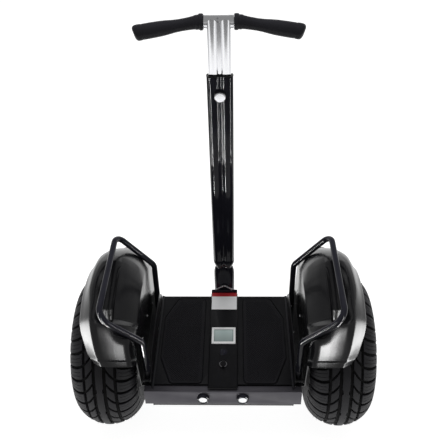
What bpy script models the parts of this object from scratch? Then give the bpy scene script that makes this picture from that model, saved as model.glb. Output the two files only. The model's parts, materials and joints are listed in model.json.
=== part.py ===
"""Two-wheeled self-balancing scooter with off-road tyres, hub motors and a leaning column.

Metres. +Z is up, +Y is the way the rider faces and +X is the rider's right. The origin is on
the ground under the axle line, midway between the wheels. Pieces of the right side are made
first and mirrored to the left.
"""

import math

import bmesh
import bpy
from mathutils import Matrix, Vector

# Clearances
SEAT_GAP = 0.0003
RUNNING_GAP = 0.0012
SLIDE_GAP = 0.00045

# Wheels
TYRE_RADIUS = 0.238
TYRE_WIDTH = 0.193
TYRE_SECTION_POWER = 1.9
TYRE_SHOULDER_DROP = 0.075
TYRE_WALL = 0.0055
TYRE_SIDE_GAP = 0.0137
TREAD_DEPTH = 0.007
TREAD_PITCHES = 34
TREAD_GROOVE_SHARE = 0.22
TREAD_SWEEP = 2.10
RIM_SEAT_RADIUS = 0.1016
RIM_FLANGE_HEIGHT = 0.012
RIM_WIDTH = 0.148
RIM_WALL = 0.004
RIM_WELL_INSET = 0.030
RIM_WEB_WIDTH = 0.088

# Hub motors and axles
MOTOR_RADIUS = 0.076
STATOR_WIDTH = 0.052
STATOR_GAP = 0.0010
COVER_THICKNESS = 0.006
COVER_BOSS_RADIUS = 0.032
COVER_BOSS_HEIGHT = 0.014
BEARING_RADIUS = 0.0235
BEARING_WIDTH = 0.012
BEARING_PLAY = 0.0007
AXLE_RADIUS = 0.0150
AXLE_NECK_RADIUS = 0.0120
AXLE_COLLAR_RADIUS = 0.0190
AXLE_COLLAR_WIDTH = 0.010
AXLE_CLAMP_LENGTH = 0.050
AXLE_CLAMP_WIDTH = 0.056
AXLE_CLAMP_HEIGHT = 0.038

# Chassis and deck
DECK_HALF_WIDTH = 0.2085
DECK_REAR = -0.1700
DECK_FRONT = 0.1900
DECK_ABOVE_AXLE = 0.0290
DECK_THICKNESS = 0.0075
CHASSIS_BELOW_AXLE = 0.0880
CHASSIS_FRONT_INSET = 0.0040
CHASSIS_WALL = 0.0030
CHASSIS_EDGE_RADIUS = 0.022
DECK_RAIL_WIDTH = 0.0075
DECK_RAIL_HEIGHT = 0.0035
DECK_RAIL_OVERHANG = 0.0130

# Rear beam and its lamps
BEAM_DEPTH = 0.0215
BEAM_HEIGHT = 0.0610
BEAM_OVERHANG = 0.0215
BEAM_WALL = 0.0030
BEAM_TOP_DROP = 0.0040
LAMP_SPACING = 0.1160
LAMP_RADIUS = 0.0180
LAMP_DEPTH = 0.0130
LAMP_PROUD = 0.0110
LAMP_LENS_RADIUS = 0.0125
LAMP_BELOW_TOP = 0.0290

# Foot mats
MAT_CONSOLE_MARGIN = 0.0180
MAT_SIDE_MARGIN = 0.0185
MAT_FRONT_MARGIN = 0.0140
MAT_REAR_MARGIN = 0.0040
MAT_FRONT_CUT = (0.0400, 0.0860)
MAT_REAR_CUT = (0.0350, 0.0940)
MAT_CORNER_RADIUS = 0.0120
MAT_RECESS_DEPTH = 0.0040
MAT_PROUD = 0.0010
MAT_GROOVE = 0.0025

# Console strip down the middle of the deck
CONSOLE_HALF_WIDTH = 0.0440
CONSOLE_REAR_INSET = 0.0043
CONSOLE_OVERHANG = 0.0093
CONSOLE_HEIGHT = 0.0082
CONSOLE_CHAMFER = 0.0030
DISPLAY_WIDTH = 0.0744
DISPLAY_LENGTH = 0.0670
DISPLAY_FRAME = 0.0066
DISPLAY_FRAME_FAR = 0.0086
DISPLAY_HEIGHT = 0.0030
DISPLAY_CENTRE = 0.0080
SCREEN_HEIGHT = 0.0016
BUTTON_CENTRE = -0.0565
BUTTON_RADIUS = 0.0085
BUTTON_HEIGHT = 0.0030
BUTTON_LENGTH = 0.0165
BUTTON_RING = 0.0035
SOCKET_CENTRE = -0.1030
SOCKET_RADIUS = 0.0088
SOCKET_FLANGE = 0.0115
SOCKET_FLANGE_HEIGHT = 0.0018
SOCKET_BORE = 0.0060
SOCKET_DEPTH = 0.0260
CAP_RADIUS = 0.0095
CAP_THICKNESS = 0.0030
CAP_HINGE_RADIUS = 0.0014

# Inside the chassis
BATTERY_SIZE = (0.280, 0.180, 0.060)
BATTERY_CENTRE_Y = -0.062
BOARD_SIZE = (0.190, 0.085, 0.006)
BOARD_CENTRE_Y = 0.085

# Side plates, fenders and handrails
PLATE_THICKNESS = 0.0030
PLATE_BELOW_AXLE = 0.0780
PLATE_ABOVE_AXLE = 0.0970
PLATE_FRONT_INSET = 0.0010
FENDER_PANEL_OFFSET = 0.0260
FENDER_WALL = 0.0030
FENDER_OUTER_REACH = 0.0570
FENDER_EDGE_GAP = 0.0120
FENDER_CROWN_GAP = 0.0710
FENDER_PANEL_RADIUS = 0.2450
FENDER_PANEL_ABOVE_AXLE = 0.0240
FENDER_PANEL_FRONT = 0.2280
FENDER_PANEL_FRONT_RISE = 0.0120
FENDER_PANEL_REAR = -0.1705
FENDER_END_ANGLE = 39.0
FENDER_LIP_ANGLE = 5.5
FENDER_LIP_FLARE = 0.0050
FENDER_LIP_INWARD = 0.0080
FENDER_SQUARE_ANGLE = 22.0
FENDER_TAPER_ANGLE = 68.0
FENDER_TAPER_SHARE = 0.24
FENDER_LIP_TAPER_SHARE = 0.07
TROUGH_DEPTH = 0.0460
TROUGH_FRONT_ANGLE = 70.0
TROUGH_REAR_ANGLE = 111.0
TROUGH_RAMP_ANGLE = 8.0
# Across the fender from its outer edge: share of the width, of the height over the wheel, of the
# height at both ends, and of the trough
FENDER_PROFILE_SHARES = (
    (1.000, 0.07, 0.07, 0.00),
    (0.920, 0.20, 0.20, 0.00),
    (0.890, 0.52, 0.56, 0.10),
    (0.825, 0.80, 0.84, 0.48),
    (0.720, 0.95, 0.97, 1.00),
    (0.580, 1.00, 1.00, 1.00),
    (0.480, 1.00, 1.00, 0.96),
    (0.405, 0.96, 1.00, 0.42),
    (0.250, 0.77, 0.97, 0.26),
    (0.110, 0.42, 0.82, 0.20),
    (0.015, 0.04, 0.36, 0.08),
)
RAIL_RADIUS = 0.0090
RAIL_INSIDE_WHEEL = 0.0220
RAIL_ABOVE_CROWN = 0.0185
RAIL_SHOULDER_DROP = 0.1235
RAIL_FOOT_BELOW_DECK = 0.0030
RAIL_REAR_Y = (-0.1400, -0.1610, -0.1870)
RAIL_FRONT_Y = (0.1640, 0.1640, 0.1540)
RAIL_BEND_RADIUS = 0.0360
STUD_RADIUS = 0.0050
STUD_REAR_Y = -0.1620
STUD_ABOVE_AXLE = 0.0365
STUD_FLANGE_RADIUS = 0.0085
STUD_FLANGE = 0.0025

# Steering column: distances along its own axis are from the lean pivot
COLUMN_LEAN_ANGLE = math.radians(5.8)
PIVOT_BEHIND_STEM = 0.0240
PIVOT_BELOW_AXLE = 0.0030
LOBE_RADIUS = 0.0190
LOBE_OFFSET = 0.0148
LOBE_WEB_DIP = 0.0045
TUBE_WALL = 0.0047
TUBE_BOTTOM = 0.1960
TUBE_TOP = 0.8720
COLLAR_HEIGHT = 0.0030
COLLAR_PROUD = 0.0005
PLUG_LENGTH = 0.0800
STEM_BOTTOM = -0.0320
INNER_WALL = 0.0026
INNER_BOTTOM = 0.4800
INNER_TOP_REAR = 1.0240
INNER_TOP_WEB = 1.0133
INNER_TOP_FRONT = 0.9990
# From the top down: distance along the column, lobe radius and lobe offset
PLUG_LEVELS = (
    (0.1957, 0.0190, 0.0148),
    (0.1800, 0.0180, 0.0146),
    (0.1680, 0.0155, 0.0142),
    (0.1560, 0.0128, 0.0138),
)
STEM_LEVELS = (
    (0.1557, 0.0128, 0.0138),
    (0.1480, 0.0138, 0.0160),
    (0.1350, 0.0146, 0.0178),
    (0.1180, 0.0150, 0.0182),
)
STUB_RADIUS = 0.0090
STUB_OFFSET = 0.0115
STUB_LENGTH = 0.0400
FOOT_HALF_WIDTH = 0.0430
FOOT_THICKNESS = 0.0040
FOOT_ABOVE_AXLE = 0.0470
FOOT_BELOW_AXLE = 0.0410
FOOT_CORNER_RADIUS = 0.0220
HUB_RADIUS = 0.0180
HUB_LENGTH = 0.0413
PIVOT_RADIUS = 0.0100
PIVOT_NUT_RADIUS = 0.0150
PIVOT_NUT_WIDTH = 0.0075
PIVOT_BUSH_WALL = 0.0040
CENTRING_RUBBER_LENGTH = 0.0104
PIVOT_HOUSING = (0.0680, 0.0420, 0.0510)
KNOB_ALONG = 0.8224
KNOB_RADIUS = 0.0150
KNOB_HEIGHT = 0.0100
KNOB_STEM_RADIUS = 0.0040
KNOB_CAP_RADIUS = 0.0142
KNOB_CAP_THICKNESS = 0.0018

# Handlebar
BAR_ALONG = 1.0068
BAR_FORWARD = 0.0082
BAR_RADIUS = 0.0111
BAR_HALF_LENGTH = 0.1880
BAR_SWEEP = 0.0265
BAR_DROP = 0.0150
SLEEVE_RADIUS = 0.0159
SLEEVE_HALF_LENGTH = 0.0355
GRIP_START = 0.0362
GRIP_END = 0.2020
GRIP_BORE_GAP = 0.0006
GRIP_SIDES = 14
# Along the grip from its inner end: share of the length, radius, and how far the ring leans inwards
GRIP_PROFILE = (
    (0.000, 0.0188, 0.00),
    (0.020, 0.0196, 0.00),
    (0.052, 0.0196, 0.00),
    (0.068, 0.0172, 0.00),
    (0.112, 0.0172, 0.00),
    (0.128, 0.0156, 0.00),
    (0.330, 0.0143, 0.00),
    (0.600, 0.0180, 0.00),
    (0.880, 0.0182, 0.00),
    (0.890, 0.0190, 0.00),
    (0.960, 0.0186, 0.18),
    (0.990, 0.0168, 0.34),
    (1.000, 0.0130, 0.42),
)

# Worked out from the sizes above
AXLE_Z = TYRE_RADIUS
DECK_TOP = AXLE_Z + DECK_ABOVE_AXLE
DECK_BOTTOM = DECK_TOP - DECK_THICKNESS
CHASSIS_BOTTOM = AXLE_Z - CHASSIS_BELOW_AXLE
CHASSIS_FRONT = DECK_FRONT - CHASSIS_FRONT_INSET
BEAM_TOP = DECK_TOP - BEAM_TOP_DROP
BEAM_FRONT = DECK_REAR - RUNNING_GAP
BEAM_REAR = BEAM_FRONT - BEAM_DEPTH
BEAM_HALF_LENGTH = DECK_HALF_WIDTH + BEAM_OVERHANG
MAT_INNER = CONSOLE_HALF_WIDTH + MAT_CONSOLE_MARGIN
MAT_WIDEST = DECK_HALF_WIDTH - MAT_SIDE_MARGIN
MAT_FRONT = DECK_FRONT - MAT_FRONT_MARGIN
MAT_REAR = DECK_REAR + MAT_REAR_MARGIN
CONSOLE_REAR = BEAM_REAR + CONSOLE_REAR_INSET
CONSOLE_FRONT = DECK_FRONT + CONSOLE_OVERHANG
CONSOLE_BOTTOM = DECK_TOP + SEAT_GAP
CONSOLE_TOP = CONSOLE_BOTTOM + CONSOLE_HEIGHT
PLATE_INNER = DECK_HALF_WIDTH + SEAT_GAP
PLATE_OUTER = PLATE_INNER + PLATE_THICKNESS
PLATE_BOTTOM = AXLE_Z - PLATE_BELOW_AXLE
PLATE_TOP = AXLE_Z + PLATE_ABOVE_AXLE
PLATE_REAR = BEAM_FRONT + 2 * SEAT_GAP
PLATE_FRONT = CHASSIS_FRONT - PLATE_FRONT_INSET
PANEL_X = PLATE_OUTER + FENDER_PANEL_OFFSET
PANEL_BOTTOM = AXLE_Z + FENDER_PANEL_ABOVE_AXLE
WHEEL_X = PANEL_X + TYRE_SIDE_GAP + TYRE_WIDTH / 2
RAIL_LEG_X = PLATE_OUTER + SEAT_GAP + RAIL_RADIUS
RAIL_OUTER_X = WHEEL_X - RAIL_INSIDE_WHEEL
RAIL_OUTER_Z = AXLE_Z + TYRE_RADIUS + FENDER_CROWN_GAP + RAIL_ABOVE_CROWN
RAIL_SHOULDER_Z = RAIL_OUTER_Z - RAIL_SHOULDER_DROP
RAIL_FOOT_Z = DECK_TOP - RAIL_FOOT_BELOW_DECK
STUD_Z = AXLE_Z + STUD_ABOVE_AXLE
FOOT_REAR = CONSOLE_FRONT + RUNNING_GAP
HUB_FRONT = FOOT_REAR + HUB_LENGTH
PIVOT_Y = FOOT_REAR + PIVOT_BEHIND_STEM
PIVOT_Z = AXLE_Z - PIVOT_BELOW_AXLE
HOUSING_FRONT = CHASSIS_FRONT - CHASSIS_WALL - SEAT_GAP
HOUSING_REAR = HOUSING_FRONT - PIVOT_HOUSING[1]
PIVOT_REAR = HOUSING_REAR - CENTRING_RUBBER_LENGTH - 2 * SEAT_GAP
TUBE_BORE = LOBE_RADIUS - TUBE_WALL
INNER_RADIUS = TUBE_BORE - SLIDE_GAP
BEARING_BORE = AXLE_RADIUS + BEARING_PLAY

FINISHES = {
    "moulded_black": ((0.022, 0.022, 0.024), 0.42, 0.0),
    "satin_black": ((0.030, 0.030, 0.033), 0.35, 0.2),
    "gloss_black": ((0.012, 0.012, 0.015), 0.12, 0.0),
    "tyre_rubber": ((0.035, 0.035, 0.038), 0.75, 0.0),
    "mat_rubber": ((0.040, 0.038, 0.042), 0.80, 0.0),
    "grip_rubber": ((0.030, 0.030, 0.036), 0.60, 0.0),
    "beam_grey": ((0.240, 0.230, 0.260), 0.40, 0.5),
    "edge_grey": ((0.420, 0.420, 0.440), 0.40, 0.7),
    "bare_aluminium": ((0.780, 0.780, 0.800), 0.28, 0.9),
    "steel": ((0.550, 0.550, 0.570), 0.30, 1.0),
    "bronze": ((0.550, 0.380, 0.180), 0.40, 1.0),
    "white_plastic": ((0.850, 0.850, 0.850), 0.40, 0.0),
    "screen": ((0.450, 0.520, 0.470), 0.15, 0.0),
    "lens": ((0.900, 0.900, 0.920), 0.08, 0.0),
    "board_green": ((0.020, 0.160, 0.070), 0.50, 0.0),
    "battery_blue": ((0.030, 0.090, 0.260), 0.45, 0.0),
    "copper": ((0.720, 0.350, 0.180), 0.35, 1.0),
}

parts = None
cutters = None


# Scene and finishes

def clear_scene():
    for obj in list(bpy.data.objects):
        bpy.data.objects.remove(obj, do_unlink=True)


def new_collection(name):
    collection = bpy.data.collections.new(name)
    bpy.context.scene.collection.children.link(collection)
    return collection


def finish(obj, finish_name):
    colour, roughness, metallic = FINISHES[finish_name]
    material = bpy.data.materials.new(f"{obj.name}_{finish_name}")
    material.use_nodes = True
    shader = material.node_tree.nodes["Principled BSDF"]
    shader.inputs["Base Color"].default_value = (*colour, 1.0)
    shader.inputs["Roughness"].default_value = roughness
    shader.inputs["Metallic"].default_value = metallic
    obj.data.materials.clear()
    obj.data.materials.append(material)
    return obj


def add_object(name, data, finish_name, location=(0, 0, 0), rotation=(0, 0, 0), parent=None):
    obj = bpy.data.objects.new(name, data)
    parts.objects.link(obj)
    obj.location = location
    obj.rotation_euler = rotation
    obj.parent = parent
    if finish_name:
        finish(obj, finish_name)
    return obj


def add_axis(name, location, rotation=(0, 0, 0), parent=None):
    axis = bpy.data.objects.new(name, None)
    axis.empty_display_size = 0.05
    parts.objects.link(axis)
    axis.location = location
    axis.rotation_euler = rotation
    axis.parent = parent
    bpy.context.view_layer.update()
    return axis


def as_cutter(obj):
    for collection in list(obj.users_collection):
        collection.objects.unlink(obj)
    cutters.objects.link(obj)
    obj.hide_render = True
    obj.display_type = "WIRE"
    return obj


def combine(obj, other, operation="DIFFERENCE"):
    """A Boolean with the exact solver; the other shape becomes a helper."""
    as_cutter(other)
    modifier = obj.modifiers.new(f"{operation.lower()}_{other.name}", "BOOLEAN")
    modifier.operation = operation
    modifier.solver = "EXACT"
    modifier.object = other
    return obj


def shade_smooth(obj, angle=35.0):
    obj.data.shade_smooth()
    obj.data.set_sharp_from_angle(angle=math.radians(angle))
    return obj


# Shapes

def mesh_from(bm, name):
    bmesh.ops.recalc_face_normals(bm, faces=bm.faces[:])
    mesh = bpy.data.meshes.new(name)
    bm.to_mesh(mesh)
    bm.free()
    return mesh


def box(name, low, high, finish_name, bevel=0.0, segments=2, parent=None):
    """A box between two corners, with its edges rounded by a Bevel."""
    low = Vector(low)
    high = Vector(high)
    size = high - low
    bm = bmesh.new()
    bmesh.ops.create_cube(bm, size=1.0)
    bmesh.ops.scale(bm, vec=size, verts=bm.verts[:])
    obj = add_object(name, mesh_from(bm, name), finish_name, (low + high) / 2, parent=parent)
    if bevel:
        modifier = obj.modifiers.new("rounded_edges", "BEVEL")
        modifier.width = bevel
        modifier.segments = segments
        modifier.limit_method = "ANGLE"
    return obj


AXIS_TURNS = {
    "X": (0.0, math.pi / 2, 0.0),
    "Y": (-math.pi / 2, 0.0, 0.0),
    "Z": (0.0, 0.0, 0.0),
    "-Y": (math.pi / 2, 0.0, 0.0),
}


def turned(name, profile, finish_name, centre, axis="Z", steps=32, closed=False, parent=None):
    """A Screw of (radius, height) points, the outer side running from the top down."""
    bm = bmesh.new()
    points = [bm.verts.new((radius, 0.0, height)) for radius, height in profile]
    for first, second in zip(points, points[1:]):
        bm.edges.new((first, second))
    if closed:
        bm.edges.new((points[-1], points[0]))
    mesh = bpy.data.meshes.new(name)
    bm.to_mesh(mesh)
    bm.free()
    obj = add_object(name, mesh, finish_name, centre, AXIS_TURNS[axis], parent)
    screw = obj.modifiers.new("turned", "SCREW")
    screw.angle = 2 * math.pi
    screw.axis = "Z"
    screw.steps = steps
    screw.render_steps = steps
    screw.use_merge_vertices = True
    screw.merge_threshold = 0.00001
    screw.use_smooth_shade = True
    return obj


def rod(name, radius, low, high, finish_name, centre, axis="Z", steps=32, parent=None):
    """A solid round bar from low to high along its axis."""
    profile = [(0.0, high), (radius, high), (radius, low), (0.0, low)]
    return turned(name, profile, finish_name, centre, axis, steps, parent=parent)


def ring(name, inner, outer, low, high, finish_name, centre, axis="Z", steps=32, parent=None):
    """A plain bush or sleeve."""
    profile = [(outer, high), (outer, low), (inner, low), (inner, high)]
    return turned(name, profile, finish_name, centre, axis, steps, True, parent)


def rounded_corners(points, radius, steps=4):
    """A closed outline with each corner replaced by an arc of at most the given radius."""
    outline = []
    count = len(points)
    for i in range(count):
        before = Vector(points[i - 1])
        corner = Vector(points[i])
        after = Vector(points[(i + 1) % count])
        outline.extend(corner_arc(before, corner, after, radius, steps))
    return outline


def corner_arc(before, corner, after, radius, steps):
    """Points of a round bend that replaces a corner, in two or three dimensions."""
    to_before = (before - corner)
    to_after = (after - corner)
    half_turn = to_before.angle(to_after) / 2
    reach = min(radius / math.tan(half_turn), 0.49 * to_before.length, 0.49 * to_after.length)
    bend = reach * math.tan(half_turn)
    middle = (to_before.normalized() + to_after.normalized()).normalized()
    centre = corner + middle * (bend / math.sin(half_turn))
    start = corner + to_before.normalized() * reach - centre
    end = corner + to_after.normalized() * reach - centre
    sweep = start.angle(end)
    arc = []
    for step in range(steps + 1):
        share = step / steps
        first = math.sin((1 - share) * sweep) / math.sin(sweep)
        second = math.sin(share * sweep) / math.sin(sweep)
        arc.append(centre + start * first + end * second)
    return arc


def bent_path(points, radius, steps=4):
    """An open path through the points, its inner corners made round bends."""
    points = [Vector(point) for point in points]
    path = [points[0]]
    for before, corner, after in zip(points, points[1:], points[2:]):
        path.extend(corner_arc(before, corner, after, radius, steps))
    path.append(points[-1])
    return path


def plate(name, outline, low, high, finish_name, axis="X", parent=None):
    """A flat outline with thickness, from a filled 2D curve. On X the outline is (y, z), on Z it is (x, y)."""
    curve = bpy.data.curves.new(name, "CURVE")
    curve.dimensions = "2D"
    curve.fill_mode = "BOTH"
    curve.extrude = (high - low) / 2
    spline = curve.splines.new("POLY")
    spline.points.add(len(outline) - 1)
    for target, point in zip(spline.points, outline):
        target.co = (point[0], point[1], 0.0, 1.0)
    spline.use_cyclic_u = True
    middle = (low + high) / 2
    if axis == "X":
        turn = Matrix(((0, 0, 1), (1, 0, 0), (0, 1, 0))).to_euler()
        place = (middle, 0.0, 0.0)
    elif axis == "Y":
        turn = Matrix(((1, 0, 0), (0, 0, -1), (0, 1, 0))).to_euler()
        place = (0.0, middle, 0.0)
    else:
        turn = (0.0, 0.0, 0.0)
        place = (0.0, 0.0, middle)
    return as_mesh(add_object(name, curve, finish_name, place, turn, parent))


def as_mesh(source):
    """The same object as a mesh with its loose caps welded, so that it can be cut or joined."""
    bpy.context.view_layer.update()
    graph = bpy.context.evaluated_depsgraph_get()
    mesh = bpy.data.meshes.new_from_object(source.evaluated_get(graph), depsgraph=graph)
    bm = bmesh.new()
    bm.from_mesh(mesh)
    bmesh.ops.remove_doubles(bm, verts=bm.verts[:], dist=0.00001)
    bmesh.ops.recalc_face_normals(bm, faces=bm.faces[:])
    bm.to_mesh(mesh)
    bm.free()
    name = source.name
    made = bpy.data.objects.new(f"{name}_mesh", mesh)
    parts.objects.link(made)
    made.matrix_world = source.matrix_world
    curve = source.data
    bpy.data.objects.remove(source, do_unlink=True)
    bpy.data.curves.remove(curve)
    made.name = name
    mesh.name = name
    return made


def tube(name, path, radius, finish_name, sides=12):
    """A round bar along a path, from a bevelled curve with closed ends."""
    curve = bpy.data.curves.new(name, "CURVE")
    curve.dimensions = "3D"
    curve.bevel_depth = radius
    curve.bevel_resolution = sides // 2 - 2
    curve.use_fill_caps = True
    spline = curve.splines.new("POLY")
    spline.points.add(len(path) - 1)
    for target, point in zip(spline.points, path):
        target.co = (*point, 1.0)
    return as_mesh(add_object(name, curve, finish_name))


def ring_loft(name, rings, finish_name, ring_closed=True, loop_closed=True, capped=False, parent=None):
    """Rings with the same number of points, joined each to the next."""
    bm = bmesh.new()
    grid = [[bm.verts.new(point) for point in points] for points in rings]
    count = len(grid[0])
    pairs = list(zip(grid, grid[1:]))
    if loop_closed:
        pairs.append((grid[-1], grid[0]))
    for first, second in pairs:
        for i in range(count if ring_closed else count - 1):
            j = (i + 1) % count
            bm.faces.new((first[i], first[j], second[j], second[i]))
    if capped:
        bm.faces.new(grid[0])
        bm.faces.new(grid[-1])
    return add_object(name, mesh_from(bm, name), finish_name, parent=parent)


def mirrored(source):
    """The left-hand copy of a right-hand piece."""
    bpy.context.view_layer.update()
    graph = bpy.context.evaluated_depsgraph_get()
    mesh = bpy.data.meshes.new_from_object(source.evaluated_get(graph), depsgraph=graph)
    flip = Matrix.Scale(-1.0, 4, (1.0, 0.0, 0.0))
    place = flip @ source.matrix_world.translation
    mesh.transform(Matrix.Translation(-place) @ flip @ source.matrix_world)
    mesh.flip_normals()
    name = source.name.replace("_right", "_left")
    copy = bpy.data.objects.new(name, mesh)
    parts.objects.link(copy)
    copy.location = place
    original = source.data.materials[0] if source.data.materials else None
    if original:
        material = original.copy()
        material.name = original.name.replace("_right", "_left")
        mesh.materials.clear()
        mesh.materials.append(material)
    return copy


# Wheels

def tyre_section(share):
    """Place and outward direction (across, out) on the tyre's outer section, share 0 to 1 of its half width."""
    half = TYRE_WIDTH / 2
    power = TYRE_SECTION_POWER
    fall = 1 - (1 - share ** power) ** (1 / power)
    step = 0.002
    near = max(share - step, 0.0)
    ahead = min(share + step, 1.0 - 1e-9)
    slope = TYRE_SHOULDER_DROP * (
        (1 - near ** power) ** (1 / power) - (1 - ahead ** power) ** (1 / power)
    ) / ((ahead - near) * half)
    length = math.hypot(1.0, slope)
    place = (half * share, TYRE_RADIUS - TYRE_SHOULDER_DROP * fall)
    return place, (slope / length, 1.0 / length)


# Across half the tread from the middle: share of the half width, and what runs there
TREAD_ROW_SHARES = (
    (0.105, "rib"),
    (0.155, "inner groove"),
    (0.210, "block"),
    (0.420, "block"),
    (0.465, "groove"),
    (0.510, "block"),
    (0.880, "block"),
)
RIB_NOTCH_SHARE = 0.030


def tread_turn(share):
    """How far the cross grooves have swept round at a share of the half width, in pitches."""
    return TREAD_SWEEP * (1 - (1 - max(share, TREAD_ROW_SHARES[2][0])) ** 3)


def tread_ring(share, kind, side):
    """A rib or its groove has one point a pitch. Blocks have three: both ends and the cross groove's bottom."""
    block = 1 - TREAD_GROOVE_SHARE
    points = []
    for index in range(TREAD_PITCHES):
        if kind == "rib":
            stops = ((0.0, share - RIB_NOTCH_SHARE * (index % 2), 0.0),)
        elif kind == "inner groove":
            stops = ((0.0, share, TREAD_DEPTH),)
        else:
            on_block = TREAD_DEPTH if kind == "groove" else 0.0
            stops = ((0.0, share, on_block), (block, share, on_block), ((1 + block) / 2, share, TREAD_DEPTH))
        for place, row, depth in stops:
            (across, out), (normal_across, normal_out) = tyre_section(row)
            angle = 2 * math.pi * (index + place + tread_turn(share)) / TREAD_PITCHES
            radius = out - normal_out * depth
            x = side * (across - normal_across * depth)
            points.append((x, radius * math.cos(angle), radius * math.sin(angle)))
    return points


def plain_ring(across, radius):
    """One point a pitch, for walls without tread."""
    points = []
    for index in range(TREAD_PITCHES):
        angle = 2 * math.pi * (index + TREAD_SWEEP) / TREAD_PITCHES
        points.append((across, radius * math.cos(angle), radius * math.sin(angle)))
    return points


def tyre_walls():
    """(across, radius) from the shoulder down the outer wall, round the bead and up the inside."""
    half = TYRE_WIDTH / 2
    widest = TYRE_RADIUS - TYRE_SHOULDER_DROP
    flange_top = RIM_SEAT_RADIUS + RIM_FLANGE_HEIGHT
    bead = RIM_WIDTH / 2 - RIM_WALL - SEAT_GAP
    seat = RIM_SEAT_RADIUS / math.cos(math.pi / TREAD_PITCHES) + SEAT_GAP
    inside = TREAD_DEPTH + TYRE_WALL
    return [
        (half, widest),
        (half - 0.009, widest - 0.55 * (widest - flange_top)),
        (bead, flange_top + 0.0015),
        (bead, seat),
        (bead - 0.013, seat),
        (bead - 0.009, flange_top + 0.004),
        (half - inside + 0.002, widest - 0.012),
        (0.62 * half, TYRE_RADIUS - 0.24 * TYRE_SHOULDER_DROP - inside),
    ]


def join_rings(bm, first, second):
    """Faces between two rings, a pitch at a time, whatever number of points each has in a pitch."""
    a = len(first) // TREAD_PITCHES
    b = len(second) // TREAD_PITCHES
    for index in range(TREAD_PITCHES):
        low = [first[(index * a + k) % len(first)] for k in range(a + 1)]
        high = [second[(index * b + k) % len(second)] for k in range(b + 1)]
        if a != b:
            bm.faces.new(low + high[::-1])
            continue
        for k in range(a):
            bm.faces.new((low[k], low[k + 1], high[k + 1], high[k]))


def make_tyre(name, parent):
    """A closed ring of rings: across the tread, down the right wall and back through the inside."""
    walls = tyre_walls()
    rings = [tread_ring(share, kind, -1) for share, kind in reversed(TREAD_ROW_SHARES)]
    rings += [tread_ring(share, kind, 1) for share, kind in TREAD_ROW_SHARES]
    rings += [plain_ring(across, radius) for across, radius in walls]
    rings += [plain_ring(-across, radius) for across, radius in walls[::-1]]
    bm = bmesh.new()
    made = [[bm.verts.new(point) for point in points] for points in rings]
    for first, second in zip(made, made[1:] + made[:1]):
        join_rings(bm, first, second)
    tyre = add_object(name, mesh_from(bm, name), "tyre_rubber", parent=parent)
    return shade_smooth(tyre, 25.0)


def make_wheel_right():
    axis = add_axis("wheel_right_axis", (WHEEL_X, 0.0, AXLE_Z))
    tyre = make_tyre("tyre_right", axis)
    half = RIM_WIDTH / 2
    web = RIM_WEB_WIDTH / 2
    flange = RIM_SEAT_RADIUS + RIM_FLANGE_HEIGHT
    under = RIM_SEAT_RADIUS - RIM_WALL
    well = RIM_SEAT_RADIUS - 0.007
    bore = MOTOR_RADIUS + STATOR_GAP
    rim_outline = [
        (flange, half), (flange, half - RIM_WALL),
        (RIM_SEAT_RADIUS, half - RIM_WALL), (well, half - RIM_WELL_INSET),
        (well, RIM_WELL_INSET - half), (RIM_SEAT_RADIUS, RIM_WALL - half),
        (flange, RIM_WALL - half), (flange, -half),
        (under, -half), (under - 0.009, -web),
        (bore, -web), (bore, web),
        (under - 0.009, web), (under, half),
    ]
    rim = turned("rim_right", rim_outline, "satin_black", (0, 0, 0), "X", 24, True, axis)
    pieces = [tyre, rim]
    pieces += make_hub_covers(axis, web)
    return pieces


def make_hub_covers(axis, web):
    """Dished end covers of the hub motor with a bearing in each."""
    edge = MOTOR_RADIUS + STATOR_GAP + 0.009
    inner_face = web + SEAT_GAP
    outer_face = inner_face + COVER_THICKNESS
    boss = outer_face + COVER_BOSS_HEIGHT
    seat = BEARING_RADIUS + SEAT_GAP
    pocket = inner_face + BEARING_WIDTH + SEAT_GAP
    outer_cover = [
        (0.0, boss), (COVER_BOSS_RADIUS - 0.005, boss),
        (COVER_BOSS_RADIUS, boss - 0.004), (COVER_BOSS_RADIUS + 0.007, outer_face),
        (edge, outer_face), (edge, inner_face),
        (seat, inner_face), (seat, pocket), (0.0, pocket),
    ]
    inner_cover = [
        (edge, -inner_face), (edge, -outer_face),
        (COVER_BOSS_RADIUS + 0.005, -outer_face), (COVER_BOSS_RADIUS, -outer_face - 0.006),
        (seat, -outer_face - 0.006), (seat, -inner_face),
    ]
    outer = turned("hub_cover_outer_right", outer_cover, "satin_black", (0, 0, 0), "X", 24, parent=axis)
    inner = turned("hub_cover_inner_right", inner_cover, "satin_black", (0, 0, 0), "X", 24, True, axis)
    outer_bearing = ring(
        "bearing_outer_right", BEARING_BORE, BEARING_RADIUS,
        inner_face, inner_face + BEARING_WIDTH, "steel", (0, 0, 0), "X", 12, axis,
    )
    inner_bearing = ring(
        "bearing_inner_right", BEARING_BORE, BEARING_RADIUS,
        -inner_face - BEARING_WIDTH, -inner_face, "steel", (0, 0, 0), "X", 12, axis,
    )
    return [outer, inner, outer_bearing, inner_bearing]


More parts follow.
